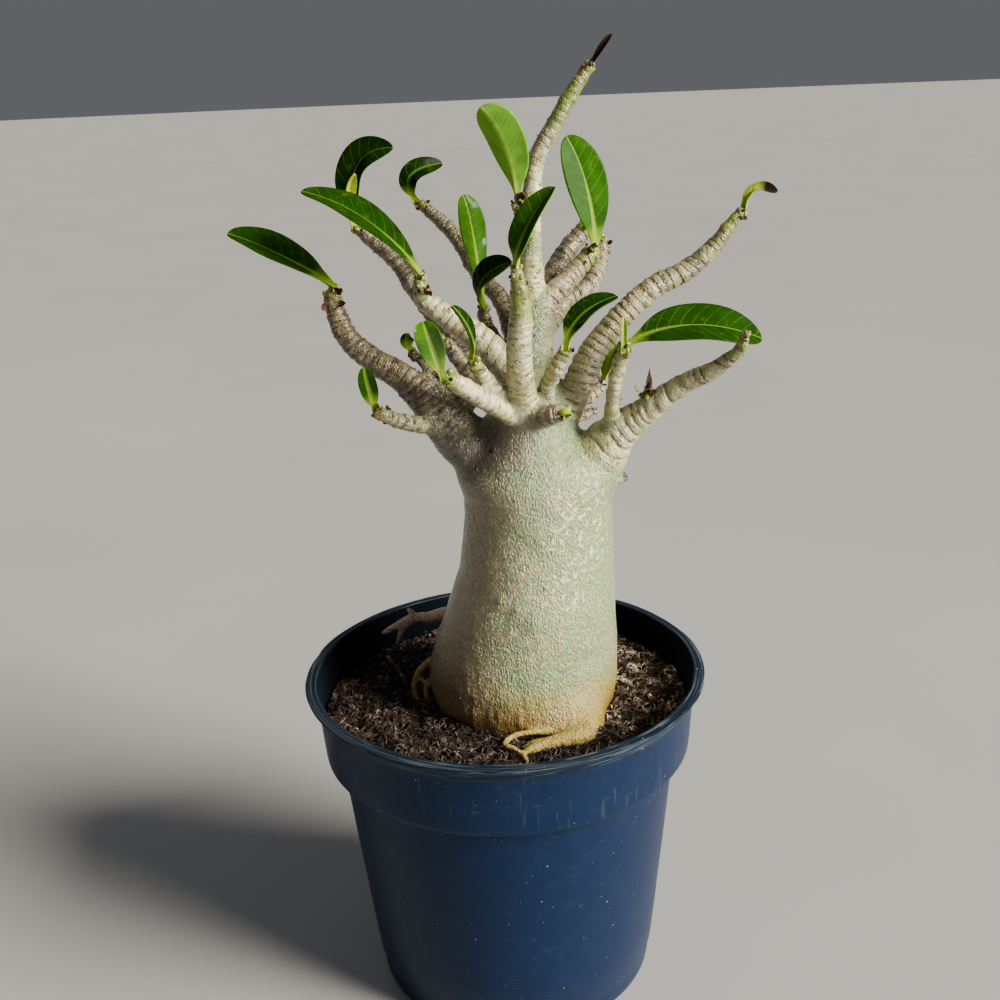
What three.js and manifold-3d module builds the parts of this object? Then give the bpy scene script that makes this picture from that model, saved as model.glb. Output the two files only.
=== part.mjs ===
// A potted desert rose: a swollen grey-green trunk with short knobbly branches and a few
// leaves, standing in dark soil in a black plastic nursery pot.
// Millimetres, +Z up. The origin is the centre of the pot's underside, the viewer stands
// on the -Y side and +X is to the right.
import * as THREE from 'three';
import { mergeVertices } from 'three/addons/utils/BufferGeometryUtils.js';
import Module from 'manifold-3d';

const wasm = await Module();
wasm.setup();

// Driving dimensions of the pot
const POT_HEIGHT = 126;
const LIP_RADIUS = 75;
const LIP_WIDTH = 3.6;
const LIP_DEPTH = 2.0;
const COLLAR_BOTTOM = 96.5;
const COLLAR_BOTTOM_RADIUS = 69.2;
const WALL_TOP_RADIUS = 63.6;
const FOOT_HEIGHT = 10.5;
const FOOT_TOP_RADIUS = 55;
const FOOT_RADIUS = 52;
const WALL = 1.5;
const FLOOR = 2.4;
const POT_SIDES = 40;
const DRAIN_HOLES = 6;
const DRAIN_RADIUS = 3.5;
const DRAIN_CIRCLE = 38;

// Driving dimensions of the soil, the plant and the leaves
const CLEARANCE = 0.3;
const SOIL_LEVEL = 112;
const SOIL_LUMPS = 26;
const TRUNK_SIDES = 22;
const RING_PITCH = 4.6;
const RING_RELIEF = 0.075;
const THICK_LIMB = 6;
const LEAF_THICKNESS = 0.8;
const LEAF_STEPS = 7;

// Colours and finishes
const material = (color, roughness) => new THREE.MeshStandardMaterial({ color, roughness, metalness: 0 });
const potPlastic = material(0x16202e, 0.45);
const peat = material(0x2b1d14, 1.0);
const bark = material(0x9a9878, 0.6);
const leafGreen = material(0x1f5a1c, 0.35);
const newLeafGreen = material(0x86b030, 0.4);
const driedLeaf = material(0x2c1c12, 0.8);

// A seeded draw, so that every build is the same
function makeRandom(seed) {
  let state = seed;
  return () => {
    state = (state * 1664525 + 1013904223) % 4294967296;
    return state / 4294967296;
  };
}

const vec = (p) => new THREE.Vector3(p[0], p[1], p[2]);
const mix = THREE.MathUtils.lerp;
const smooth = (x) => THREE.MathUtils.smoothstep(x, 0, 1);

// Solids: three.js geometry to a closed solid and back
function toSolid(geometry) {
  geometry.deleteAttribute('normal');
  geometry.deleteAttribute('uv');
  const merged = mergeVertices(geometry, 1e-4);
  return new wasm.Manifold(new wasm.Mesh({
    numProp: 3,
    vertProperties: Float32Array.from(merged.attributes.position.array),
    triVerts: Uint32Array.from(merged.index.array),
  }));
}

function toGeometry(solid) {
  const mesh = solid.getMesh();
  const geometry = new THREE.BufferGeometry();
  geometry.setAttribute('position', new THREE.BufferAttribute(mesh.vertProperties, 3));
  geometry.setIndex(new THREE.BufferAttribute(mesh.triVerts, 1));
  geometry.computeVertexNormals();
  return geometry;
}

// Cutting can leave loose crumbs: only the largest body is kept
function largestBody(solid) {
  const bodies = solid.decompose();
  return bodies.reduce((best, body) => (body.volume() > best.volume() ? body : best));
}

// A closed skin over rings of points, with a point at each end
function skin(start, rings, end) {
  const sides = rings[0].length;
  const points = [start, ...rings.flat(), end];
  const index = [];
  const at = (ring, side) => 1 + ring * sides + (side % sides);
  for (let side = 0; side < sides; side += 1) {
    index.push(0, at(0, side + 1), at(0, side));
    index.push(points.length - 1, at(rings.length - 1, side), at(rings.length - 1, side + 1));
    for (let ring = 0; ring < rings.length - 1; ring += 1) {
      const a = at(ring, side);
      const b = at(ring, side + 1);
      const c = at(ring + 1, side + 1);
      const d = at(ring + 1, side);
      index.push(a, b, c, a, c, d);
    }
  }
  const geometry = new THREE.BufferGeometry().setFromPoints(points);
  geometry.setIndex(index);
  return toSolid(geometry);
}

// A branch, root or shoot. Its points are [x, y, z, radius]. Leaf scars ring it at an even
// pitch, each a little crest with a groove above it. `grow` makes it fatter and longer
// all round, which is the cutter for whatever sits against it.
function branch(points, options = {}) {
  const { rings = true, grow = 0, seed = 1 } = options;
  const sides = points[0][3] > THICK_LIMB ? 8 : rings ? 6 : 5;
  const random = makeRandom(seed);
  const curve = new THREE.CatmullRomCurve3(points.map(vec), false, 'centripetal');
  const samples = 24 * (points.length - 1);
  const track = curve.getPoints(samples);
  const lengths = [0];
  for (let i = 1; i <= samples; i += 1) {
    lengths.push(lengths[i - 1] + track[i].distanceTo(track[i - 1]));
  }
  const total = lengths[samples];
  const parameterAt = (distance) => {
    let i = 1;
    while (i < samples && lengths[i] < distance) i += 1;
    return (i - 1 + (distance - lengths[i - 1]) / (lengths[i] - lengths[i - 1])) / samples;
  };
  const radiusAt = (t) => {
    const place = Math.min(t * (points.length - 1), points.length - 1.0001);
    const i = Math.floor(place);
    return mix(points[i][3], points[i + 1][3], place - i);
  };

  // Stations along the branch: a crest and a groove for each leaf scar
  const stations = [];
  const pitch = rings ? RING_PITCH : 2 * RING_PITCH;
  const count = Math.max(2, Math.round(total / pitch));
  for (let i = 0; i < count; i += 1) {
    const middle = ((i + 0.2 + 0.25 * random()) * total) / count;
    const tilt = (random() - 0.5) * 0.5;
    const swell = rings ? RING_RELIEF * (0.6 + 0.8 * random()) : 0;
    stations.push({ distance: middle, tilt, scale: 1 + swell });
    if (rings) {
      stations.push({ distance: middle + (0.5 * total) / count, tilt, scale: 1 - 0.7 * swell });
    }
  }
  stations.push({ distance: total - 0.35 * radiusAt(1), tilt: 0, scale: 0.8 });

  let across = new THREE.Vector3(0, 0, 1);
  if (Math.abs(curve.getTangent(0).z) > 0.8) across = new THREE.Vector3(1, 0, 0);
  const loops = stations.map(({ distance, tilt, scale }) => {
    const t = parameterAt(Math.min(distance, total));
    const centre = curve.getPoint(t);
    const along = curve.getTangent(t);
    across = across.clone().addScaledVector(along, -across.dot(along)).normalize();
    const third = new THREE.Vector3().crossVectors(along, across);
    const radius = radiusAt(t) * scale + grow;
    return Array.from({ length: sides }, (_, k) => {
      const angle = (2 * Math.PI * k) / sides;
      return centre.clone()
        .addScaledVector(across, radius * Math.cos(angle))
        .addScaledVector(third, radius * Math.sin(angle))
        .addScaledVector(along, radius * tilt * Math.cos(angle));
    });
  });
  const tip = curve.getPoint(1).addScaledVector(curve.getTangent(1), grow);
  return skin(curve.getPoint(0), loops, tip);
}

// The trunk, from its buried taproot to the top where the limbs part.
// Sections are [z, centre x, centre y, half width, half depth].
const TRUNK_SECTIONS = [
  [72, 9, 2, 6, 6],
  [82, 9, 2, 15, 15],
  [93, 9, 2, 25, 24],
  [103, 8.5, 3.5, 30, 28.5],
  [111, 8, 3.5, 32.8, 32],
  [119, 7.5, 3, 34.8, 34.2],
  [127, 7.4, 2.5, 35.2, 34.5],
  [136, 8.3, 2, 34.2, 33],
  [145, 10, 1, 32.2, 31],
  [155, 11.5, 0.5, 30.6, 29.5],
  [166, 13.2, 0, 28.5, 27.5],
  [178, 14, 0, 27.2, 26],
  [188, 14.6, 0, 26.5, 25.5],
  [194, 14.8, 0, 26.6, 25],
  [199, 15, 0, 28.6, 24.6],
  [203, 14.4, 0, 29.6, 23.8],
  [209, 14, 0, 24, 21.5],
  [214, 13, 0, 18.6, 19],
  [220, 12.8, 0, 16, 17],
  [226, 13, 0, 14.2, 15.5],
  [232, 13.5, 0, 12.4, 13],
  [238, 14, 1, 8.5, 9],
];
// Root flares that swell the trunk at the soil: [angle in degrees, height, spread, bulge]
const ROOT_FLARES = [
  [-60, 111, 17, 12.5],
  [-88, 108, 22, 2],
  [160, 116, 26, 2.5],
  [-150, 114, 22, 1.5],
  [35, 110, 30, 3],
  [95, 112, 28, 3],
];
const FLARE_HEIGHT = 9;
const FOLD_RELIEF = 0.35;

function trunk(grow = 0) {
  const loops = TRUNK_SECTIONS.map(([z, cx, cy, rx, ry]) => (
    Array.from({ length: TRUNK_SIDES }, (_, k) => {
      const angle = (360 * k) / TRUNK_SIDES;
      let bulge = grow + FOLD_RELIEF * Math.sin(THREE.MathUtils.degToRad(angle * 7 + z * 2));
      for (const [flareAngle, height, spread, size] of ROOT_FLARES) {
        const turn = ((angle - flareAngle + 540) % 360) - 180;
        const rise = Math.exp(-(((z - height) / FLARE_HEIGHT) ** 2));
        bulge += size * rise * Math.exp(-((turn / spread) ** 2));
      }
      const radians = THREE.MathUtils.degToRad(angle);
      return new THREE.Vector3(
        cx + (rx + bulge) * Math.cos(radians),
        cy + (ry + bulge) * Math.sin(radians),
        z,
      );
    })
  ));
  const [first, last] = [TRUNK_SECTIONS[0], TRUNK_SECTIONS.at(-1)];
  return skin(
    new THREE.Vector3(first[1], first[2], first[0] - 4 - grow),
    loops,
    new THREE.Vector3(last[1], last[2], last[0] + 3),
  );
}

// Branches, each from inside the trunk or its parent out to its tip
const BRANCHES = {
  leader: [
    [15, 2, 215, 9.5], [15, 4.5, 228, 8], [15, 9, 245.5, 7], [15, 10.5, 257.5, 6.6],
    [15, 10.5, 266.5, 4.6], [15, 10.5, 277.5, 4], [16, 12, 295.5, 3.1], [18, 12, 309, 2.9],
    [25, 12, 321, 2.7], [32.5, 12, 333, 2.4], [37, 12, 338.5, 1.6],
  ],
  front: [
    [12, -5, 217, 7], [10, -18, 234, 5], [9, -28.5, 252, 4], [10, -31.5, 266, 3.5],
    [9, -34.5, 279.5, 1.9],
  ],
  leftLimb: [
    [8, 0, 203, 14], [-7, 0, 212, 10.6], [-15.5, 1, 219.5, 8.8], [-23, 2.5, 229, 6.6],
    [-32, 4.5, 237.5, 5], [-41.5, 6.5, 243.5, 4.3], [-49.5, 8.5, 250.5, 3.9],
    [-53.5, 10, 259.5, 3.5], [-54.5, 10, 268.5, 2.7],
  ],
  leftSpur: [[-17, 0, 219, 4], [-24, -4.5, 222, 3.1], [-32, -9, 225, 2.6], [-40, -12, 229.5, 2.1]],
  backLeft: [
    [4, 9, 225.5, 5], [-6, 16.5, 237, 4], [-16, 25, 248, 3.6], [-22, 30, 256.5, 3.3],
    [-28, 35, 264.5, 3.2], [-33, 38, 272.5, 3], [-40.5, 42, 279, 2.7], [-48.5, 45, 286, 2.2],
  ],
  innerLeft: [
    [12, 0, 229, 6.5], [4, 0, 242.5, 5.3], [-4.5, 0, 251.5, 4.7], [-12, -1.5, 257.5, 4.1],
    [-18, -1.5, 262, 3.6], [-22.5, -2.5, 266.5, 3], [-23, -3, 271, 1.9], [-22.5, -3, 274, 1.6],
  ],
  darkBack: [
    [11, 11.5, 233.5, 4.5], [8, 27, 248, 3.6], [4, 33, 259, 3.2], [-1, 38, 264, 3],
    [-5.5, 42, 270, 2.9], [-9.5, 46, 277.5, 2.8], [-14.5, 50, 283.5, 2.7], [-25, 57, 292.5, 2],
  ],
  darkStub: [[9, 11, 237.5, 3], [2, 21, 245.5, 2.5], [-2, 25.5, 252.5, 2.3], [-2, 27, 257.5, 1.9]],
  lowLeft: [
    [11, -11, 224.5, 4.6], [4, -20, 230, 3.4], [-2, -27, 235.5, 3.1], [-8, -34.5, 241.5, 3],
    [-14.5, -42.5, 248, 2.4],
  ],
  midLeft: [[10, -7.5, 224, 4], [5, -16.5, 234, 2.9], [0, -23.5, 239.5, 2.6], [-6, -33, 250.5, 2.1]],
  brownStub: [[4, -2.5, 228, 3.4], [-6, -8, 238.5, 2.7], [-12, -12, 248, 2.4], [-16, -13.5, 254, 2]],
  dryTwig: [[-7, 0, 226, 3], [-13, 1, 232, 2.2], [-20, 4, 237.5, 1.9], [-28, 9, 245.5, 1.5]],
  shortRight: [[18, -8, 225, 3.8], [18, -15.5, 236, 2.8], [20.5, -23, 243.5, 2.5], [24.5, -27, 252, 2]],
  upperRight: [
    [18, 0, 214, 8], [28, -4, 231, 5.6], [35, -3.5, 245.5, 4.6], [46.5, -2, 258.5, 4],
    [56, 0, 266, 3.8], [68.5, 2.5, 271.5, 3.4], [78, 3.5, 279.5, 2.7], [83.5, 4.5, 286.5, 1.9],
    [87.5, 5.5, 290.5, 1.3],
  ],
  lowerRight: [
    [20, -2, 199.5, 14], [33.9, -5, 206.6, 11.2], [41.8, -8, 217, 7.4], [47.9, -11, 222.9, 5.4],
    [53.2, -14, 227.7, 4.3], [62.5, -19, 236, 3.4], [73, -26, 243, 2.8], [80, -32, 251, 1.7],
    [81, -33, 256, 1.2],
  ],
  upright: [
    [39, -8, 214, 4], [40, -12, 223, 2.8], [40.5, -16, 232, 2.4], [41.5, -19.5, 241.5, 2.3],
    [44, -24, 251.5, 2.1],
  ],
  backRight: [[20, 2, 218, 4], [30, 10, 225.5, 2.6], [35, 13.5, 225.5, 2.4], [40.5, 17, 229.5, 1.9]],
  drySpur: [[22, 4, 219, 3], [30, 9, 219, 2], [37, 13.5, 220, 1.4]],
  budTuft: [[50, -11, 225, 2.4], [51.5, -15, 231, 1.8], [52.5, -18, 236, 1.2]],
  fingerBack: [[14, 12, 249, 5], [18.5, 19.5, 259, 3.8], [26.5, 30, 272.5, 3.6], [37, 37.5, 283.5, 2.9]],
  fingerFront: [[15, 7.5, 249.5, 5], [20, 9, 260.5, 3.9], [28.5, 13.5, 268.5, 3.6], [37.5, 18, 277, 2.9]],
  fingerRight: [
    [15, 12, 248, 5.5], [27.5, 20, 259, 3.6], [35.5, 25, 262.5, 3.3], [39.5, 31, 267.5, 3.2],
    [41.5, 36, 272.5, 2.9], [42.5, 39, 279, 2.2],
  ],
  leafSpur: [[16, 12, 276.5, 3], [14, 6, 285, 2.4], [11, 0, 296, 2]],
  brokenStub: [[12, -13.5, 225.5, 4.5], [17, -19.5, 227.5, 3.7], [23, -24, 230, 3]],
};
const SMOOTH_TIPS = ['drySpur', 'budTuft'];

// Roots that show above the soil
const ROOTS = {
  dryRoot: [
    [-18, 20, 138, 3.4], [-23, 24, 137, 2.6], [-29, 28, 134, 2.2], [-36, 30, 133, 1.8],
    [-49, 31, 126, 1],
  ],
  dryRootFork: [[-34, 30, 133, 1.5], [-40, 30, 129, 1.2], [-43, 29, 122, 0.8]],
  dryRootNub: [[-34, 29, 133, 1.3], [-38, 31, 137, 0.9]],
  leftStrand: [
    [-24, 8, 126, 2], [-30, 7, 124, 1.4], [-34, 5, 120, 1.2], [-35, 3, 114, 1.1],
    [-32, 1, 108, 1],
  ],
  leftStrandInner: [[-25, 4, 120, 1.8], [-30, 3, 117, 1.2], [-30, 1, 112, 1.1], [-27, 1, 106, 1]],
  leftStrandLink: [[-34, 6, 120, 1], [-29, 3, 116, 0.9]],
  frontRoot: [
    [29, -32, 114, 5], [23, -35.5, 114, 3.2], [17, -37.3, 113.8, 2.6], [11.5, -39.3, 113.6, 2.1],
    [7.5, -41.5, 113.2, 1.5], [3, -43.6, 111.6, 0.9],
  ],
  frontRootFork: [[14, -37.5, 114, 1.8], [9, -38, 113.8, 1.3], [4.5, -39.6, 112, 0.8]],
  frontLoop: [
    [20, -31, 115, 2], [14.5, -33, 115.6, 1.2], [8.5, -33.2, 115.6, 1], [3.6, -34, 115.3, 1],
    [0.3, -35.8, 114.7, 1], [-1.1, -38.7, 114, 1], [2, -41, 113.8, 1], [5.4, -44.4, 113, 0.9],
    [7, -48.5, 111, 0.9],
  ],
};

function limbs(grow) {
  const twigs = Object.entries(BRANCHES).map(([name, points], i) => (
    branch(points, { grow, seed: 11 + i, rings: !SMOOTH_TIPS.includes(name) })
  ));
  const roots = Object.values(ROOTS).map((points, i) => (
    branch(points, { grow, seed: 71 + i, rings: false })
  ));
  return wasm.Manifold.union([trunk(grow), ...twigs, ...roots]);
}

// A leaf blade, arched from base through middle to tip, folded a little along its midrib.
// `faces` is where its upper side looks. Both faces are split alike, so that they stay
// one even thickness apart, and the stalk end is thicker than the blade.
function leaf({ base, middle, tip, faces, half, fold = 15, widest = 0.58, stalk = 1 }) {
  const [b, m, t] = [vec(base), vec(middle), vec(tip)];
  const control = m.clone().multiplyScalar(2).addScaledVector(b, -0.5).addScaledVector(t, -0.5);
  const curve = new THREE.QuadraticBezierCurve3(b, control, t);
  const blunt = 0.55;
  const rise = (widest * blunt) / (1 - widest);
  const fullness = (u) => ((u / widest) ** rise) * (((1 - u) / (1 - widest)) ** blunt);
  const lift = Math.sin(THREE.MathUtils.degToRad(fold));
  const reach = Math.cos(THREE.MathUtils.degToRad(fold));
  const offsets = [-1, -0.55, 0, 0.55, 1];
  const loops = [];
  for (let i = 0; i <= LEAF_STEPS; i += 1) {
    const u = mix(0.0, 0.985, i / LEAF_STEPS);
    const centre = curve.getPoint(u);
    const along = curve.getTangent(u);
    const up = vec(faces).addScaledVector(along, -vec(faces).dot(along)).normalize();
    const side = new THREE.Vector3().crossVectors(along, up);
    const width = Math.max(half * fullness(u), mix(stalk, 0.7, u));
    const thick = LEAF_THICKNESS / 2;
    const rib = mix(stalk * 0.75, thick, smooth(u * 2.5));
    const place = (offset, face) => {
      const edge = Math.abs(offset);
      const depth = mix(rib, thick * 0.8, edge);
      return centre.clone()
        .addScaledVector(side, offset * width * reach)
        .addScaledVector(up, edge * width * lift + face * depth);
    };
    const lower = offsets.map((offset) => place(offset, -1));
    const upper = offsets.map((offset) => place(offset, 1)).reverse();
    loops.push([...lower, ...upper]);
  }
  return bladeSolid(loops, offsets.length);
}

// The blade's skin: each cell of the upper face is split along the same diagonal as the
// cell under it, and the two ends are closed by strips
function bladeSolid(loops, across) {
  const around = loops[0].length;
  const index = [];
  const at = (ring, k) => ring * around + (k % around);
  const quad = (p, q, r, s, flip) => {
    if (flip) index.push(p, s, q, q, s, r);
    else index.push(p, r, q, p, s, r);
  };
  for (let ring = 0; ring < loops.length - 1; ring += 1) {
    for (let k = 0; k < around; k += 1) {
      quad(at(ring, k), at(ring, k + 1), at(ring + 1, k + 1), at(ring + 1, k), k >= across);
    }
  }
  const last = loops.length - 1;
  for (let k = 0; k < across - 1; k += 1) {
    const over = around - 1 - k;
    quad(at(0, k), at(0, over), at(0, over - 1), at(0, k + 1), false);
    quad(at(last, k), at(last, k + 1), at(last, over - 1), at(last, over), false);
  }
  const geometry = new THREE.BufferGeometry().setFromPoints(loops.flat());
  geometry.setIndex(index);
  return toSolid(geometry);
}

// Each leaf by the place where it grows: base, middle and tip of its midrib
const LEAVES = {
  leaf_far_left: {
    base: [-54.5, 10, 270], middle: [-74, 15.5, 281], tip: [-90, 16.5, 288],
    faces: [0.4, -0.4, 0.8], half: 8.2, fold: 19, widest: 0.5,
  },
  leaf_back_left: {
    base: [-48.2, 46.6, 286.2], middle: [-46, 44, 307], tip: [-32, 39, 313.5],
    faces: [-0.5, -0.8, 0.2], half: 7.1, fold: 30, widest: 0.5,
  },
  leaf_long_left: {
    base: [-22.5, -3, 274], middle: [-40, 3, 292], tip: [-61.5, 6, 302],
    faces: [0.5, -0.3, 0.8], half: 9.2, fold: 11,
  },
  leaf_curled_left: {
    base: [-26, 57, 293.5], middle: [-27, 54, 302.5], tip: [-15.5, 60, 306],
    faces: [-0.3, -0.9, 0.4], half: 4.5, fold: 21,
  },
  leaf_inner_upright: {
    base: [-2.5, 28.5, 257.5], middle: [-5, 31, 283], tip: [-8, 32, 296.5],
    faces: [0.6, -0.8, 0.1], half: 5.4, fold: 10,
  },
  leaf_inner_dark: {
    base: [-2, 25, 257.5], middle: [-2, 17, 268], tip: [8.5, 12, 275],
    faces: [-0.6, -0.5, 0.5], half: 6, fold: 20,
  },
  leaf_front: {
    base: [9, -34.5, 280.5], middle: [12.5, -37.5, 291.5], tip: [21.5, -30, 303],
    faces: [-0.6, -0.6, 0.4], half: 5.5, fold: 25,
  },
  leaf_low_left: {
    base: [-40, -12, 230.5], middle: [-41.5, -16.5, 239], tip: [-42.5, -17.5, 246.5],
    faces: [0.2, -1, -0.1], half: 3.2,
  },
  leaf_glossy_left: {
    base: [-15, -43.2, 248], middle: [-18, -49.5, 259.5], tip: [-20, -48, 266.5],
    faces: [0, -1, -0.1], half: 4.3,
  },
  leaf_dim_left: {
    base: [-28.3, 9, 246.3], middle: [-29.3, 6, 250], tip: [-28.3, 3, 253],
    faces: [0.2, -0.9, 0.3], half: 2.6,
  },
  leaf_edge_on: {
    base: [-6, -33, 251.5], middle: [-6.5, -37.5, 260.5], tip: [-11.5, -40.5, 269.5],
    faces: [0.9, -0.3, 0.3], half: 3.6,
  },
  leaf_top: {
    base: [11, 0, 297], middle: [7, -9, 314], tip: [0, -13.5, 327],
    faces: [0.5, 0.8, 0.4], half: 8.2, fold: 20, widest: 0.62,
  },
  leaf_top_right: {
    base: [38.2, 18.6, 277.2], middle: [35.5, 22.5, 299], tip: [29, 25.5, 315.5],
    faces: [0.4, -0.9, 0.2], half: 8, fold: 9, widest: 0.56,
  },
  leaf_mid_right: {
    base: [24.5, -27, 253], middle: [30.5, -21, 261.5], tip: [42.5, -12, 265.5],
    faces: [-0.3, -0.5, 0.8], half: 5, fold: 21,
  },
  leaf_long_right: {
    base: [44.6, -23.8, 251.8], middle: [66, -20.5, 256.5], tip: [90, -16, 250],
    faces: [0.05, -0.55, 0.85], half: 9, fold: 12, widest: 0.6,
  },
  leaf_back_right: {
    base: [40.5, 17, 230], middle: [42.5, 18, 237], tip: [46.5, 22, 242.5],
    faces: [-0.7, -0.5, 0.5], half: 3.2, fold: 9,
  },
};
const NEW_LEAVES = {
  new_leaf_back_left: {
    base: [-49, 43, 286.6], middle: [-48.8, 35.6, 298], tip: [-45.5, 30, 305.5],
    faces: [0.5, -0.8, 0.2], half: 2.3, fold: 25,
  },
  new_leaf_right: {
    base: [43.2, -25.6, 251.2], middle: [43, -27.2, 257], tip: [43, -27, 261.5],
    faces: [0, -1, 0], half: 1.1, fold: 30,
  },
  curled_leaf: {
    base: [87.8, 5.5, 290.5], middle: [91, 6, 296.3], tip: [98.5, 4.5, 295.5],
    faces: [-0.6, -0.5, 0.6], half: 2.4, fold: 35,
  },
};
const DEAD_LEAVES = {
  dead_leaf: {
    base: [37, 12, 338.5], middle: [40.5, 12, 343], tip: [44, 12, 347.5],
    faces: [-0.6, -0.8, 0.2], half: 1.5, fold: 40, stalk: 1.1,
  },
};

// The pot: a turned wall with a lip, a straight collar and a tapered body
function pot() {
  const wallBelow = COLLAR_BOTTOM - 1.2;
  const profile = [
    [0, 0],
    [FOOT_RADIUS, 0],
    [FOOT_RADIUS + 1.5, 1.6],
    [FOOT_TOP_RADIUS, FOOT_HEIGHT],
    [WALL_TOP_RADIUS, wallBelow],
    [COLLAR_BOTTOM_RADIUS - 1.2, COLLAR_BOTTOM],
    [COLLAR_BOTTOM_RADIUS, COLLAR_BOTTOM + 1.6],
    [LIP_RADIUS - LIP_WIDTH + 0.2, POT_HEIGHT - LIP_DEPTH - 1],
    [LIP_RADIUS - 0.5, POT_HEIGHT - LIP_DEPTH],
    [LIP_RADIUS, POT_HEIGHT - 0.6],
    [LIP_RADIUS - 0.9, POT_HEIGHT - 0.4],
    [LIP_RADIUS - LIP_WIDTH + 0.9, POT_HEIGHT - 0.5],
    [LIP_RADIUS - LIP_WIDTH, POT_HEIGHT],
    [LIP_RADIUS - LIP_WIDTH - 0.8, POT_HEIGHT - 0.5],
    [COLLAR_BOTTOM_RADIUS - WALL, COLLAR_BOTTOM + 2.4],
    [WALL_TOP_RADIUS - WALL, COLLAR_BOTTOM - 0.2],
    [FOOT_TOP_RADIUS - WALL, FOOT_HEIGHT],
    [FOOT_RADIUS - WALL, FLOOR],
    [0, FLOOR],
  ].map(([r, z]) => new THREE.Vector2(r, z));
  const turned = new THREE.LatheGeometry(profile, POT_SIDES);
  turned.rotateX(Math.PI / 2);
  let body = toSolid(turned);
  for (let i = 0; i < DRAIN_HOLES; i += 1) {
    const angle = (2 * Math.PI * i) / DRAIN_HOLES;
    const drill = new THREE.CylinderGeometry(DRAIN_RADIUS, DRAIN_RADIUS, 4 * FLOOR, 10);
    drill.rotateX(Math.PI / 2);
    drill.translate(DRAIN_CIRCLE * Math.cos(angle), DRAIN_CIRCLE * Math.sin(angle), 0);
    body = body.subtract(toSolid(drill));
  }
  return body;
}

// The soil: it fills the pot and has an uneven, crumbly top, a little higher at the right
function soilHeight(x, y, lumps) {
  let z = SOIL_LEVEL + 0.012 * x + 0.8 * Math.sin(x * 0.11 + 1) * Math.cos(y * 0.09);
  for (const lump of lumps) {
    const away = ((x - lump.x) ** 2 + (y - lump.y) ** 2) / lump.size ** 2;
    z += lump.height * Math.exp(-away);
  }
  return z;
}

function soil() {
  const random = makeRandom(5);
  const lumps = Array.from({ length: SOIL_LUMPS }, () => {
    const angle = 2 * Math.PI * random();
    const out = 36 + 30 * random();
    return {
      x: out * Math.cos(angle),
      y: out * Math.sin(angle),
      size: 4 + 4 * random(),
      height: 2.6 * (random() - 0.35),
    };
  });
  const topRadius = mix(COLLAR_BOTTOM_RADIUS, LIP_RADIUS - LIP_WIDTH, 0.5) - WALL - CLEARANCE - 0.3;
  const side = [
    [FOOT_RADIUS - WALL - CLEARANCE, FLOOR + CLEARANCE],
    [FOOT_TOP_RADIUS - WALL - CLEARANCE, FOOT_HEIGHT],
    [WALL_TOP_RADIUS - WALL - CLEARANCE - 0.1, COLLAR_BOTTOM - 0.2],
    [COLLAR_BOTTOM_RADIUS - WALL - CLEARANCE - 0.1, COLLAR_BOTTOM + 2.4],
  ];
  const ring = (radius, height) => Array.from({ length: POT_SIDES }, (_, k) => {
    const angle = (2 * Math.PI * k) / POT_SIDES;
    const x = radius * Math.cos(angle);
    const y = radius * Math.sin(angle);
    return new THREE.Vector3(x, y, height ?? soilHeight(x, y, lumps));
  });
  const rings = side.map(([radius, z]) => ring(radius, z));
  for (const radius of [topRadius, 62, 54, 46, 38, 26]) rings.push(ring(radius));
  const bottom = new THREE.Vector3(0, 0, FLOOR + CLEARANCE);
  return skin(bottom, rings, new THREE.Vector3(0, 0, SOIL_LEVEL));
}

// Assembly: the plant is one grown piece, and each leaf is cut back from its twig
const group = new THREE.Group();

function add(name, solid, finish) {
  const mesh = new THREE.Mesh(toGeometry(solid), finish);
  mesh.name = name;
  group.add(mesh);
}

const cutter = limbs(CLEARANCE);
add('pot', pot(), potPlastic);
add('soil', largestBody(soil().subtract(cutter)), peat);
add('plant', largestBody(limbs(0)), bark);
const leafSets = [[LEAVES, leafGreen], [NEW_LEAVES, newLeafGreen], [DEAD_LEAVES, driedLeaf]];
for (const [set, finish] of leafSets) {
  for (const [name, shape] of Object.entries(set)) {
    add(name, largestBody(leaf(shape).subtract(cutter)), finish);
  }
}

export default group;
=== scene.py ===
# %% [markdown]
# # A potted desert rose
# This lesson dresses a desert rose that stands in a black nursery pot. The plain solids of
# the part are loaded first and stay the measure for everything: the finer pieces follow the
# same curves and sections, in metres, with the origin under the middle of the pot.

# %% Load the plain solids
import math

import bmesh
import bpy
import numpy as np
from mathutils import Matrix, Vector


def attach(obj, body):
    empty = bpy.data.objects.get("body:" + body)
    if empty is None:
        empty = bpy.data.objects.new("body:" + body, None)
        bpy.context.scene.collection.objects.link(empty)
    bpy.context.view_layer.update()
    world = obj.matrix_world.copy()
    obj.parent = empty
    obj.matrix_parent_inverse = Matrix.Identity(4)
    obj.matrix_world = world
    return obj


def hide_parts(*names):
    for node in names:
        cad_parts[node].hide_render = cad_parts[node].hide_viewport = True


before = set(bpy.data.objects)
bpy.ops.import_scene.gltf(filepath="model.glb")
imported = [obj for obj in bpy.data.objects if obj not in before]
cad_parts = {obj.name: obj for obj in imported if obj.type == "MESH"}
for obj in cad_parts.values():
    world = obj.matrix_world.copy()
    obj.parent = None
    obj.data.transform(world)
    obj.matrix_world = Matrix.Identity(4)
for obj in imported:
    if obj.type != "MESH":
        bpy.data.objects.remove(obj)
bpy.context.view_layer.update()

MM = 0.001

# %% [markdown]
# ## The camera
# The viewer stands close and looks down at the plant a little, so the rim of the pot shows as
# an ellipse. The lens and the place were worked out from the ellipses of the rim, the collar
# and the foot. A camera could be aimed with a constraint, but three axes written into its
# matrix say exactly where it looks and how far it leans.

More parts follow.
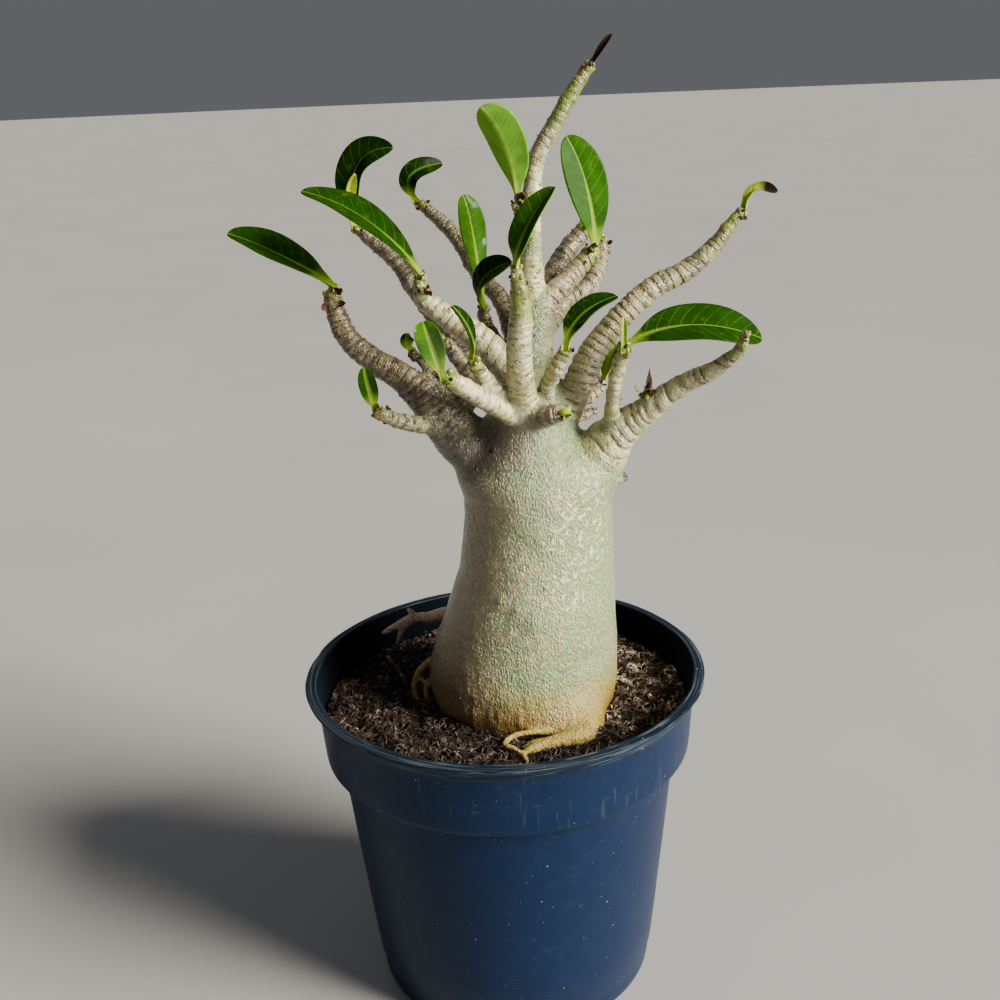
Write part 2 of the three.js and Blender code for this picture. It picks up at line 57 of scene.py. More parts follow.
# %% Camera
LOOK_AT = Vector((0.0009, 0.0, 0.1918))
PITCH = math.radians(19.1)
LEAN = math.radians(-2.4)
DISTANCE = 0.433
FOCAL_LENGTH = 43.2


def place_object(name, data):
    """Puts a mesh, curve, lamp or camera in the scene as an object."""
    thing = bpy.data.objects.new(name, data)
    bpy.context.scene.collection.objects.link(thing)
    return thing


forward = Vector((0, math.cos(PITCH), -math.sin(PITCH)))
level = Vector((1, 0, 0))
above = level.cross(forward)
camera_right = math.cos(LEAN) * level + math.sin(LEAN) * above
camera_up = math.cos(LEAN) * above - math.sin(LEAN) * level
camera = place_object("camera", bpy.data.cameras.new("camera"))
camera.data.lens = FOCAL_LENGTH
camera.data.sensor_width = 36
camera.data.clip_start = 0.01
camera.matrix_world = Matrix.Translation(LOOK_AT - DISTANCE * forward) @ Matrix(
    (camera_right, camera_up, -forward)
).transposed().to_4x4()
bpy.context.scene.camera = camera
print("camera stands at", [round(v, 3) for v in camera.matrix_world.translation])

# %% [markdown]
# ## Small helpers for meshes
# Every piece ends as a mesh whose object sits at the origin, so one helper turns a bmesh into
# such an object, smooths its shading and lets it ride on the part. A modifier is applied by
# reading the evaluated object back as a mesh.

# %% Mesh helpers
def finish_piece(bm, name, material, smooth=True):
    """Turns a bmesh into a piece that rides on the part."""
    mesh = bpy.data.meshes.new(name)
    bm.to_mesh(mesh)
    bm.free()
    return dress_mesh(mesh, name, material, smooth)


def dress_mesh(mesh, name, material, smooth=True):
    """Gives a finished mesh its object, its shading and its material."""
    mesh.shade_smooth() if smooth else mesh.shade_flat()
    mesh.materials.clear()
    mesh.materials.append(material)
    piece = place_object(name, mesh)
    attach(piece, "root")
    return piece


def read_back(holder):
    """The mesh of an object with its modifiers or bevel applied; the object is removed."""
    made = holder.evaluated_get(bpy.context.evaluated_depsgraph_get())
    mesh = bpy.data.meshes.new_from_object(made)
    bpy.data.objects.remove(holder)
    return mesh


def join_all(parts):
    """Gathers many small bmeshes in one, because operators are slow on a big bmesh."""
    whole = bmesh.new()
    for part in parts:
        mesh = bpy.data.meshes.new("part")
        part.to_mesh(mesh)
        part.free()
        whole.from_mesh(mesh)
        bpy.data.meshes.remove(mesh)
    return whole


def number_layer(bm, name):
    """A number stored on every vertex, for a material to read."""
    return bm.verts.layers.float.new(name)


def count_faces(piece):
    piece.data.calc_loop_triangles()
    return f"{piece.name}: {len(piece.data.loop_triangles)} triangles"


# %% [markdown]
# ## Small helpers for materials
# A material is a small web of nodes. One helper adds a node, and links an input when it is
# given another node's socket. A socket knows the web it belongs to, so the other helpers need
# no more than the sockets they work on, and a formula reads nearly as it would on paper.

# %% Node helpers
def add(near, kind, out=0, inputs=None, **settings):
    """Adds a node to a tree, or to the tree of a socket, and returns an output socket."""
    tree = near.id_data
    node = tree.nodes.new(kind)
    for key, value in settings.items():
        setattr(node, key, value)
    for key, value in (inputs or {}).items():
        if isinstance(value, bpy.types.NodeSocket):
            tree.links.new(value, node.inputs[key])
        else:
            node.inputs[key].default_value = value
    return node.outputs[out]


def first_socket(*values):
    return next(value for value in values if isinstance(value, bpy.types.NodeSocket))


def full(shade):
    """A grey, or a colour of three numbers, as the four numbers that a node keeps."""
    if isinstance(shade, (int, float)):
        return (shade, shade, shade, 1)
    return (*shade, 1) if isinstance(shade, tuple) else shade


def calc(operation, first, second=0.0, clamp=False):
    return add(first_socket(first, second), "ShaderNodeMath", inputs={0: first, 1: second},
               operation=operation, use_clamp=clamp)


def times(first, second, clamp=False):
    return calc("MULTIPLY", first, second, clamp)


def plus(first, second):
    return calc("ADD", first, second)


def minus(first, second, clamp=False):
    return calc("SUBTRACT", first, second, clamp)


def blend(factor, first, second, way="MIX"):
    """Mixes two colours; in the Mix node, inputs 0, 6 and 7 are the factor and the colours."""
    inputs = {0: factor, 6: full(first), 7: full(second)}
    return add(first_socket(factor, first), "ShaderNodeMix", out=2, inputs=inputs,
               data_type="RGBA", blend_type=way)


def paint(shade, mask, strength, colour):
    """Lays a colour over a shade where the mask is bright."""
    return blend(times(mask, strength), shade, colour)


def ramp(factor, *stops):
    """A colour ramp from stops of (place, grey or colour)."""
    socket = add(factor, "ShaderNodeValToRGB", inputs={"Fac": factor})
    elements = socket.node.color_ramp.elements
    while len(elements) < len(stops):
        elements.new(0.5)
    for element, (place, shade) in zip(elements, stops):
        element.position = place
        element.color = full(shade)
    return socket


def span(value, low, high, to_low=0.0, to_high=1.0):
    """Maps a number from one range to another, and holds it at the ends."""
    return add(value, "ShaderNodeMapRange", inputs={
        "Value": value, "From Min": low, "From Max": high, "To Min": to_low, "To Max": to_high})


def read(tree, attribute, out="Fac"):
    """Reads a number (Fac) or a vector (Vector) that was stored on the mesh."""
    return add(tree, "ShaderNodeAttribute", out=out, attribute_name=attribute)


def place_in(tree):
    return add(tree, "ShaderNodeTexCoord", out="Object")


def split(vector):
    """The three numbers of a vector."""
    return add(vector, "ShaderNodeSeparateXYZ", inputs={0: vector}).node.outputs[:3]


def stretch(vector, scale):
    return add(vector, "ShaderNodeMapping", inputs={"Vector": vector, "Scale": scale})


def cloud(vector, scale, detail=3.0, roughness=0.5):
    inputs = {"Vector": vector, "Scale": scale, "Detail": detail, "Roughness": roughness}
    return add(vector, "ShaderNodeTexNoise", inputs=inputs)


def relief(height, distance, strength=1.0):
    inputs = {"Height": height, "Distance": distance, "Strength": strength}
    return add(height, "ShaderNodeBump", inputs=inputs)


def new_finish(name, **settings):
    """A material with one Principled shader, and its node tree."""
    material = bpy.data.materials.new(name)
    material.use_nodes = True
    shader = material.node_tree.nodes["Principled BSDF"]
    for key, value in settings.items():
        shader.inputs[key.replace("_", " ")].default_value = value
    return material, material.node_tree, shader


def wire(shader, **sockets):
    """Links sockets to the inputs of a material's shader."""
    for key, socket in sockets.items():
        shader.id_data.links.new(socket, shader.inputs[key.replace("_", " ")])


# %% [markdown]
# ## Effects that several finishes share
# Dust specks lie on the pot, the bark and the leaves, and nothing here has one even colour.
# Both effects are built once as node groups that put out a mask, and each material places
# them with its own values. The specks come from the cells of a Voronoi texture: only cells
# whose random number is high keep a small round dot.

# %% Shared groups
def new_group(name, inputs, outputs):
    """A shader node group with named number and vector inputs and number outputs."""
    group = bpy.data.node_groups.new(name, "ShaderNodeTree")
    for label, start in inputs.items():
        kind = "NodeSocketVector" if start is None else "NodeSocketFloat"
        socket = group.interface.new_socket(label, in_out="INPUT", socket_type=kind)
        if start is not None:
            socket.default_value = start
    for label in outputs:
        group.interface.new_socket(label, in_out="OUTPUT", socket_type="NodeSocketFloat")
    return group, group.nodes.new("NodeGroupInput"), group.nodes.new("NodeGroupOutput")


def make_speck_group():
    numbers = {"Vector": None, "Scale": 600.0, "Size": 0.25, "Share": 0.2}
    group, given, result = new_group("specks", numbers, ["Mask"])
    cells = add(group, "ShaderNodeTexVoronoi", out="Distance",
                inputs={"Vector": given.outputs["Vector"], "Scale": given.outputs["Scale"]})
    dots = times(minus(given.outputs["Size"], cells, clamp=True), 12.0, clamp=True)
    draw = add(group, "ShaderNodeSeparateColor", inputs={0: cells.node.outputs["Color"]})
    keep = calc("LESS_THAN", draw, given.outputs["Share"])
    group.links.new(times(dots, keep), result.inputs["Mask"])
    return group


def make_patch_group():
    numbers = {"Vector": None, "Scale": 60.0, "Low": 0.4, "High": 0.6}
    group, given, result = new_group("patches", numbers, ["Mask"])
    cover = cloud(given.outputs["Vector"], given.outputs["Scale"], 6.0, 0.6)
    inputs = {"Value": cover, "From Min": given.outputs["Low"], "From Max": given.outputs["High"]}
    mask = add(group, "ShaderNodeMapRange", inputs=inputs, interpolation_type="SMOOTHSTEP")
    group.links.new(mask, result.inputs["Mask"])
    return group


SPECKS = make_speck_group()
PATCHES = make_patch_group()


def use_group(group, vector, **values):
    inputs = {"Vector": vector, **{key.capitalize(): value for key, value in values.items()}}
    return add(vector, "ShaderNodeGroup", out="Mask", inputs=inputs, node_tree=group)


print("shared effects:", SPECKS.name, "and", PATCHES.name)

# %% [markdown]
# ## Draws that repeat
# Grown things are uneven, yet every run has to give the same plant. The soil follows the same
# drawn lumps as its plain solid, so that draw is written out here. For relief, a smooth field
# of random values is read at any point: the values sit on a grid and are eased between.

# %% Random helpers
def make_draw(seed):
    """The same seeded draw that shaped the plain solids."""
    state = seed

    def draw():
        nonlocal state
        state = (state * 1664525 + 1013904223) % 4294967296
        return state / 4294967296
    return draw


def ease(x):
    x = np.clip(x, 0.0, 1.0)
    return x * x * (3 - 2 * x)


def field(points, size, seed=0):
    """Smooth random values from -1 to 1 at an array of points; size is the lump width."""
    grid = np.asarray(points, float) / size + 1000.0
    corner = np.floor(grid).astype(np.int64)
    part = ease(grid - corner)
    total = np.zeros(len(grid))
    for step in range(8):
        offset = np.array([step & 1, step >> 1 & 1, step >> 2 & 1])
        key = (corner + offset) @ np.array([73856093, 19349663, 83492791]) + seed * 7919
        key = (key ^ (key >> 13)) * 1274126177 % 2147483647
        weight = np.prod(np.where(offset, part, 1 - part), axis=1)
        total += weight * (key % 65536 / 32768.0 - 1.0)
    return total


print("a sample of the field:", field([[1.0, 2.0, 3.0]], 2.0).round(3))

# %% [markdown]
# ## Floor and light
# The plant is shown on a plain pale floor in soft studio light. The main light comes from far
# off at the upper right, as even as daylight from a window, with an angle wide enough for soft
# shadows and small enough to model the ridges on the branches. A small low light from the
# same side draws the glints on the waxy trunk. A weak large light fills the left, a rim light
# stands behind, and the pale surroundings do the rest.

# %% Floor and light
FLOOR_RADIUS = 30
LIGHT_AIM = Vector((0.01, 0, 0.2))


def make_floor():
    bm = bmesh.new()
    bmesh.ops.create_circle(bm, cap_ends=True, segments=96, radius=FLOOR_RADIUS)
    mesh = bpy.data.meshes.new("floor")
    bm.to_mesh(mesh)
    bm.free()
    floor = place_object("floor", mesh)
    paint_coat, tree, shader = new_finish("pale floor", Roughness=0.8)
    wire(shader, Base_Color=ramp(cloud(place_in(tree), 3.0), (0.3, 0.31), (0.7, 0.34)))
    mesh.materials.append(paint_coat)


def hang_light(name, lamp, place, power, warmth):
    lamp.energy = power
    lamp.color = warmth
    place = Vector(place)
    aim = (LIGHT_AIM - place).to_track_quat("-Z", "Y")
    place_object(name, lamp).matrix_world = Matrix.Translation(place) @ aim.to_matrix().to_4x4()


make_floor()
daylight = bpy.data.lights.new("key light", "SUN")
daylight.angle = math.radians(30)
hang_light("key light", daylight, (1.08, -0.50, 0.80), 11.5, (1.0, 0.93, 0.80))
for name, width, place, power, warmth in (
        ("low light", 0.2, (0.90, -0.56, 0.24), 9.0, (0.90, 1.0, 0.97)),
        ("fill light", 1.2, (-1.0, -1.0, 0.7), 0.4, (0.92, 0.96, 1.0)),
        ("rim light", 0.7, (-0.5, 0.9, 1.1), 1.5, (1.0, 1.0, 1.0))):
    panel = bpy.data.lights.new(name, "AREA")
    panel.shape = "DISK"
    panel.size = width
    hang_light(name, panel, place, power, warmth)
world = bpy.data.worlds.new("studio")
world.use_nodes = True
world.node_tree.nodes["Background"].inputs["Color"].default_value = (0.86, 0.9, 0.95, 1)
world.node_tree.nodes["Background"].inputs["Strength"].default_value = 0.14
bpy.context.scene.world = world

# %% [markdown]
# ## The pot
# A blow-moulded nursery pot has a rolled lip, a wide collar, a step and a tapered body. It is
# round, so it could be a lathe modifier on a curve. Here its profile is drawn as a chain of
# vertices and spun with the bmesh spin operator, which closes on itself when the doubles are
# merged. The chain follows the plain solid's profile, with rounded turns added.

# %% Pot sizes
LIP_RADIUS = 75
LIP_WIDTH = 3.6
LIP_HEIGHT = 125
COLLAR_BOTTOM = 96.5
COLLAR_BOTTOM_RADIUS = 69.2
WALL_TOP_RADIUS = 63.6
FOOT_HEIGHT = 10.5
FOOT_TOP_RADIUS = 55
FOOT_RADIUS = 52
WALL = 1.5
FLOOR = 2.4
POT_STEPS = 168
DRAIN_HOLES = 6
DRAIN_RADIUS = 3.5
DRAIN_CIRCLE = 38

inner_lip = LIP_RADIUS - LIP_WIDTH
POT_PROFILE = [
    (0, 0), (26, 0), (44, 0), (50.5, 0), (52.2, 0.3), (53.2, 1.0), (53.6, 2.0), (54.1, 6.0),
    (FOOT_TOP_RADIUS - 0.4, FOOT_HEIGHT - 0.6), (FOOT_TOP_RADIUS + 0.1, FOOT_HEIGHT + 0.4),
    (56.6, 24), (58.2, 40), (59.9, 56), (61.5, 72), (62.9, 86),
    (WALL_TOP_RADIUS - 0.2, 93.0), (WALL_TOP_RADIUS + 0.3, COLLAR_BOTTOM - 1.3),
    (65.0, COLLAR_BOTTOM - 0.75), (67.3, COLLAR_BOTTOM - 0.2), (68.5, COLLAR_BOTTOM + 0.3),
    (COLLAR_BOTTOM_RADIUS, COLLAR_BOTTOM + 1.3), (69.4, 99.5), (69.8, 105), (70.3, 112),
    (70.8, 118), (inner_lip + 0.0, 121.8), (71.9, 122.7), (73.2, 123.2), (74.2, 123.7),
    (74.75, 124.5), (74.9, 125.2), (74.4, 125.55), (73.4, 125.6), (72.5, 125.5),
    (inner_lip + 0.5, 125.7), (inner_lip + 0.1, 126.0), (inner_lip - 0.4, 125.85),
    (inner_lip - 0.8, 125.2), (70.2, 122.5), (69.4, 116), (68.7, 110), (68.2, 104),
    (COLLAR_BOTTOM_RADIUS - WALL, COLLAR_BOTTOM + 3.2), (66.8, COLLAR_BOTTOM + 1.4),
    (WALL_TOP_RADIUS - WALL + 0.4, COLLAR_BOTTOM + 0.2), (WALL_TOP_RADIUS - WALL, 93),
    (58.4, 56), (FOOT_TOP_RADIUS - WALL, FOOT_HEIGHT), (FOOT_RADIUS - WALL, FLOOR), (0, FLOOR),
]
print("profile points:", len(POT_PROFILE))

# %% [markdown]
# The lip is nicked and a little wavy from handling. After the spin the vertices near the lip
# are pushed by the random field, less than half a millimetre, and a few small dents are
# pressed into its edge. The floor has drain holes, which a boolean cuts with six cones.

# %% Pot shape
# Dents in the lip: angle in degrees, depth in millimetres and width in degrees
LIP_DENTS = [(-98, 0.7, 2.2), (-64, 0.5, 1.6), (-131, 0.6, 1.8), (-28, 0.6, 2.0), (168, 0.7, 2.4)]
LIP_REACH = 4
# How far the lip sways in and out, how rough it is, and how far it is drawn in everywhere
LIP_SWAY, LIP_ROUGH, LIP_IN = 0.22, 0.07, 0.10
DENT_SHARE = 0.6
# Where the lip begins, and the radius and slope of a line half way through the wall
LIP_START = 121.5
MID_WALL, WALL_SLOPE = 52.6, 0.1213
# Height from which the line lies further out, in the collar, and how far it is moved in each part
COLLAR_START, COLLAR_OUT, BODY_IN = 96, 3.4, -0.9


def spin_pot():
    bm = bmesh.new()
    chain = [bm.verts.new((r * MM, 0, z * MM)) for r, z in POT_PROFILE]
    edges = [bm.edges.new(pair) for pair in zip(chain, chain[1:])]
    bmesh.ops.spin(bm, geom=chain + edges, cent=(0, 0, 0), axis=(0, 0, 1),
                   angle=2 * math.pi, steps=POT_STEPS, use_merge=True)
    bmesh.ops.remove_doubles(bm, verts=bm.verts, dist=1e-6)
    bmesh.ops.recalc_face_normals(bm, faces=bm.faces)
    return bm


def wear_lip(bm):
    points = np.array([v.co for v in bm.verts])
    sway = field(points / MM, 14.0, 3)
    fine = field(points / MM, 2.2, 4)
    for i, vertex in enumerate(bm.verts):
        x, y, z = points[i] / MM
        near = max(0.0, 1 - abs(z - LIP_HEIGHT) / LIP_REACH)
        if near == 0:
            continue
        out = Vector((x, y, 0)).normalized()
        push = near * (LIP_SWAY * sway[i] - LIP_IN + LIP_ROUGH * fine[i])
        angle = math.degrees(math.atan2(y, x))
        for place, depth, width in LIP_DENTS:
            turn = (angle - place + 180) % 360 - 180
            push -= near * depth * math.exp(-(turn / width) ** 2) * DENT_SHARE
        vertex.co += out * push * MM


def mark_inside(bm):
    """Marks the lip with a half and the inner wall with a one."""
    layer = number_layer(bm, "inside")
    for vertex in bm.verts:
        out, z = vertex.co.xy.length / MM, vertex.co.z / MM
        lip = z > LIP_START and out > inner_lip - 0.6
        step = COLLAR_OUT if z > COLLAR_START else BODY_IN
        inner = z > FLOOR + 0.6 and out < MID_WALL + z * WALL_SLOPE + step
        vertex[layer] = 0.5 if lip else 1.0 if inner else 0.0


def pierce_floor(bm):
    """Cuts the drain holes through the pot's floor."""
    drills = bmesh.new()
    for i in range(DRAIN_HOLES):
        turn = Matrix.Rotation(2 * math.pi * i / DRAIN_HOLES, 4, "Z")
        bmesh.ops.create_cone(drills, cap_ends=True, segments=24, radius1=DRAIN_RADIUS * MM,
                              radius2=DRAIN_RADIUS * MM, depth=4 * FLOOR * MM,
                              matrix=turn @ Matrix.Translation((DRAIN_CIRCLE * MM, 0, 0)))
    holders = []
    for made in (bm, drills):
        mesh = bpy.data.meshes.new("cut")
        made.to_mesh(mesh)
        made.free()
        holders.append(place_object("cut", mesh))
    whole, drill = holders
    cut = whole.modifiers.new("drain holes", "BOOLEAN")
    cut.operation = "DIFFERENCE"
    cut.object = drill
    cut.solver = "EXACT"
    pierced = bmesh.new()
    pierced.from_mesh(read_back(whole))
    bpy.data.objects.remove(drill)
    return pierced


pot_mesh = spin_pot()
wear_lip(pot_mesh)
mark_inside(pot_mesh)
print("pot vertices:", len(pot_mesh.verts))

# %% [markdown]
# ## Black plastic
# The pot is black plastic, scuffed along its collar, dusty, and sprinkled with pale specks of dried
# water and grit. Its outer wall is painted dark navy and its reflections are tinted blue, a painted
# reflection of the sky; the lip and the inside stay near black. The wear is told by dust masks, by
# a roughness that changes, and by thin scratches made from noise that is stretched along the wall.
# Round the lip the noise is read by the distance from the middle, which draws it out into thin pale
# rings: painted highlights along the rolled lip, and scuffs.

# %% Pot material
def height_band(where, low, high):
    """A mask that is one between two heights in millimetres."""
    z = split(where)[2]
    return times(calc("GREATER_THAN", z, low * MM), calc("LESS_THAN", z, high * MM))


def round_the_pot(where):
    """Coordinates that make noise into thin lines round the lip: distance out, height, side."""
    x, y, z = split(where)
    out = add(where, "ShaderNodeVectorMath", out="Value", inputs={0: stretch(where, (1, 1, 0))},
              operation="LENGTH")
    turn = plus(times(x, 60.0), times(y, 35.0))
    return add(where, "ShaderNodeCombineXYZ",
               inputs={0: times(out, 2200.0), 1: times(z, 2200.0), 2: turn})


def make_pot_plastic():
    # Painted reflection: the blue tint of the reflections stands for the sky
    finish, tree, shader = new_finish("black plastic", Specular_IOR_Level=0.18,
                                      Specular_Tint=(0.38, 0.67, 1.0, 1))
    where = place_in(tree)
    dust = use_group(PATCHES, where, scale=38.0, low=0.45, high=0.8)
    film = use_group(PATCHES, where, scale=150.0, low=0.42, high=0.7)
    specks = use_group(SPECKS, where, scale=420.0, size=0.15, share=0.02)
    grit = use_group(SPECKS, where, scale=900.0, size=0.2, share=0.02)
    scratch = ramp(cloud(stretch(where, (220, 220, 1500)), 1.0, 2.0), (0.62, 0.0), (0.72, 1.0))
    inside = read(tree, "inside")
    lip = ramp(inside, (0.1, 0.0), (0.4, 1.0), (0.6, 1.0), (0.9, 0.0))
    inner = ramp(inside, (0.6, 0.0), (0.9, 1.0))
    # Painted reflection: the dark navy of the outer wall stands for the blue sky mirrored on black
    # plastic
    shade = blend(dust, (0.0048, 0.0110, 0.034), (0.0053, 0.0119, 0.036))
    shade = blend(ramp(inside, (0.1, 0.0), (0.4, 1.0)), shade, (0.006, 0.011, 0.020))
    # Painted highlights and scuffs: thin pale rings round the rolled lip
    lip_glints_and_scuffs = ramp(cloud(round_the_pot(where), 1.0, 2.0), (0.55, 0.0), (0.63, 1.0))
    shade = paint(shade, times(lip, lip_glints_and_scuffs), 0.6, (0.085, 0.105, 0.125))
    shade = paint(shade, times(scratch, film), 0.14, (0.10, 0.13, 0.18))
    upright = cloud(stretch(where, (620, 620, 45)), 1.0, 2.0)
    rubbed = times(ramp(upright, (0.64, 0.0), (0.70, 1.0)), height_band(where, 97, 120))
    shade = paint(shade, rubbed, 0.13, (0.08, 0.11, 0.14))
    shade = paint(shade, film, 0.01, (0.10, 0.12, 0.15))
    shade = blend(inner, shade, (0.0012, 0.0013, 0.0018))
    marks = calc("MAXIMUM", times(specks, 0.5), times(grit, 0.35))
    marks = times(marks, minus(1.0, times(inner, 0.6)))
    shade = blend(marks, shade, (0.42, 0.44, 0.46))
    rough = blend(inner, ramp(film, (0.0, 0.38), (1.0, 0.44)), 1)
    height = plus(times(cloud(where, 1400.0, 2.0), 0.5), times(scratch, -0.4))
    wire(shader, Base_Color=shade, Roughness=rough, Normal=relief(height, 0.00012, 0.6))
    return finish


pot = finish_piece(pierce_floor(pot_mesh), "nursery_pot", make_pot_plastic())
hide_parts("pot")
print(count_faces(pot))

# %% [markdown]
# ## The soil
# The pot is filled with dark peat and coir, heaped unevenly round the trunk. A displaced plane
# would need trimming to the round pot, so rings are extruded from the outside in: each ring of
# edges is extruded, scaled towards the middle and lifted to the height of the soil there. The
# height follows the same drawn lumps as the plain solid, and finer fields add the crumble.

# %% Soil height
SOIL_LEVEL = 112
SOIL_LUMPS = 26
CLEARANCE = 0.3
# Heaps that show in front, and a hollow at the right: x, y, width and height
HEAPS = [(-8, -25, 9, 1.8), (-18, -15, 7, 1.2), (56, -1, 4.5, 1.8), (44, -12, 4, 1.5),
         (49.5, -0.5, 2.5, -2.0)]
soil_draw = make_draw(5)
soil_lumps = []
for _ in range(SOIL_LUMPS):
    turn, out = 2 * math.pi * soil_draw(), 36 + 30 * soil_draw()
    spread, lift = 4 + 4 * soil_draw(), 2.6 * (soil_draw() - 0.35)
    soil_lumps.append((out * math.cos(turn), out * math.sin(turn), spread, lift))


def soil_height(x, y):
    """Height of the soil's surface in millimetres at arrays x and y."""
    z = SOIL_LEVEL + 0.012 * x + 0.8 * np.sin(x * 0.11 + 1) * np.cos(y * 0.09)
    for lump_x, lump_y, spread, lift in soil_lumps + HEAPS:
        z = z + lift * np.exp(-((x - lump_x) ** 2 + (y - lump_y) ** 2) / spread ** 2)
    spot = np.stack([x, y, 0 * x], axis=1)
    return z + 1.1 * field(spot, 5.5, 21) + 0.8 * field(spot, 2.6, 22) + 0.4 * field(spot, 1.3, 23)


print("soil height at the right:", soil_height(np.array([55.0]), np.array([0.0])))

# %% Soil bed
SOIL_SIDES = 288
SOIL_RINGS = 44
INNERMOST_RING = 22
top_radius = (COLLAR_BOTTOM_RADIUS + LIP_RADIUS - LIP_WIDTH) / 2 - WALL - CLEARANCE - 0.3
wall_rings = [
    (FOOT_RADIUS - WALL - CLEARANCE, FLOOR + CLEARANCE),
    (FOOT_TOP_RADIUS - WALL - CLEARANCE, FOOT_HEIGHT),
    (WALL_TOP_RADIUS - WALL - CLEARANCE - 0.1, COLLAR_BOTTOM - 0.2),
    (COLLAR_BOTTOM_RADIUS - WALL - CLEARANCE - 0.1, COLLAR_BOTTOM + 2.4),
]


def ring_of(made):
    """The edges all round the vertices of a new circle."""
    return list({edge for vertex in made for edge in vertex.link_edges})


def extrude_ring(bm, ring):
    """Extrudes a closed ring of edges and returns the new ring."""
    made = bmesh.ops.extrude_edge_only(bm, edges=ring)["geom"]
    return [part for part in made if isinstance(part, bmesh.types.BMEdge)]


def ring_corners(ring):
    return list({vertex for edge in ring for vertex in edge.verts})


def set_ring(ring, radius, height=None):
    """Sets a ring's radius, and its height or else that of the soil."""
    corners = ring_corners(ring)
    spots = np.array([v.co[:2] for v in corners])
    spots *= radius * MM / np.linalg.norm(spots, axis=1)[:, None]
    heights = soil_height(*(spots.T / MM)) if height is None else np.full(len(spots), height)
    for vertex, spot, z in zip(corners, spots, heights):
        vertex.co = (spot[0], spot[1], z * MM)


def make_soil_bed():
    bm = bmesh.new()
    bmesh.ops.create_circle(bm, cap_ends=True, segments=SOIL_SIDES, radius=MM)
    ring = list(bm.edges)
    set_ring(ring, *wall_rings[0])
    for radius, height in wall_rings[1:]:
        ring = extrude_ring(bm, ring)
        set_ring(ring, radius, height)
    for radius in np.linspace(top_radius, INNERMOST_RING, SOIL_RINGS):
        ring = extrude_ring(bm, ring)
        set_ring(ring, radius)
    bmesh.ops.contextual_create(bm, geom=ring)
    bmesh.ops.recalc_face_normals(bm, faces=bm.faces)
    return bm


soil_mesh = make_soil_bed()
print("soil bed vertices:", len(soil_mesh.verts))

# %% [markdown]
# ## Peat
# Moist peat is nearly black between its crumbs and dull brown on them, with pale grains of dust.
# The crumbs share this finish, and each carries its own stored tone, from dark through brown to a
# few light wood chips. The soil is painted darker in front as painted shade, and paler at the back
# and at the right as painted light.

# %% Peat material
def soil_painted_light(where):
    """How pale the soil is painted: darker in front as painted shade, paler at the back and the
    right as painted light.
    """
    x, y, _ = split(where)
    return times(span(y, -0.052, 0.0, 0.4, 1.3), span(x, 0.02, 0.055, 1.0, 1.4))


def make_peat():
    finish, tree, shader = new_finish("moist peat", Roughness=0.95, Specular_IOR_Level=0.25)
    where = place_in(tree)
    crumb = cloud(where, 520.0, 6.0, 0.7)
    clod = cloud(where, 120.0, 4.0, 0.6)
    tone = read(tree, "tone")
    shade = ramp(crumb, (0.38, (0.003, 0.002, 0.0015)), (0.54, (0.022, 0.014, 0.010)),
                 (0.70, (0.13, 0.088, 0.066)))
    own = ramp(tone, (0.0, (0.009, 0.006, 0.004)), (0.45, (0.070, 0.048, 0.037)),
               (0.8, (0.20, 0.142, 0.105)), (1.0, (0.45, 0.37, 0.29)))
    shade = paint(shade, calc("GREATER_THAN", tone, 0.001), 0.75, own)
    shade = paint(shade, clod, 0.5, (0.020, 0.013, 0.009))
    dots = use_group(SPECKS, where, scale=700.0, size=0.3, share=0.05)
    shade = paint(shade, dots, 0.6, (0.42, 0.38, 0.32))
    # Painted shade in front, painted light at the back and at the right
    shade = blend(1.0, shade, soil_painted_light(where), "MULTIPLY")
    wire(shader, Base_Color=shade, Normal=relief(crumb, 0.0008, 1.0))
    return finish


peat = make_peat()
soil_bed = finish_piece(soil_mesh, "soil_bed", peat)
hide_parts("soil")
print(count_faces(soil_bed))

# %% [markdown]
# Loose crumbs and chips lie on the bed. Particles would be lost when the model is exported,
# so each crumb is a real small mesh: an icosphere of a few faces, squeezed, turned and set
# into the soil by matrices. They are all drawn from one seed.

# %% Crumbs and chips
CRUMBS = 6600
CHIPS = 260
HANDFUL = 50
SPREAD = 67.6
TRUNK_FOOT = (8.0, 2.0, 33.0)
ROUGHEN = 0.75


def drawn_spot(draw):
    """A place on the soil, outside the trunk and inside the pot."""
    while True:
        turn, out = 2 * math.pi * draw(), SPREAD * math.sqrt(draw())
        x, y = out * math.cos(turn), out * math.sin(turn)
        if math.hypot(x - TRUNK_FOOT[0], y - TRUNK_FOOT[1]) > TRUNK_FOOT[2]:
            return x, y


def small_ball(bm, pose, subdivisions=2):
    """A squeezed ball of few faces; returns its vertices."""
    return bmesh.ops.create_icosphere(bm, subdivisions=subdivisions, radius=1, matrix=pose)["verts"]


def make_crumb(bm, layer, place, size, flat, tone, draw):
    """One uneven crumb or chip, squeezed and turned by a matrix."""
    turn = Matrix.Rotation(2 * math.pi * draw(), 4, "Z")
    turn = turn @ Matrix.Rotation(1.2 * (draw() - 0.5), 4, "X")
    turn = turn @ Matrix.Rotation(1.0 * (draw() - 0.5), 4, "Y")
    shape = turn @ Matrix.Diagonal((*[side * size * MM for side in flat], 1))
    for vertex in small_ball(bm, Matrix.Translation(Vector(place) * MM) @ shape, 1):
        push = Vector((draw() - 0.5, draw() - 0.5, draw() - 0.5))
        vertex.co += push * ROUGHEN * size * MM
        vertex[layer] = tone


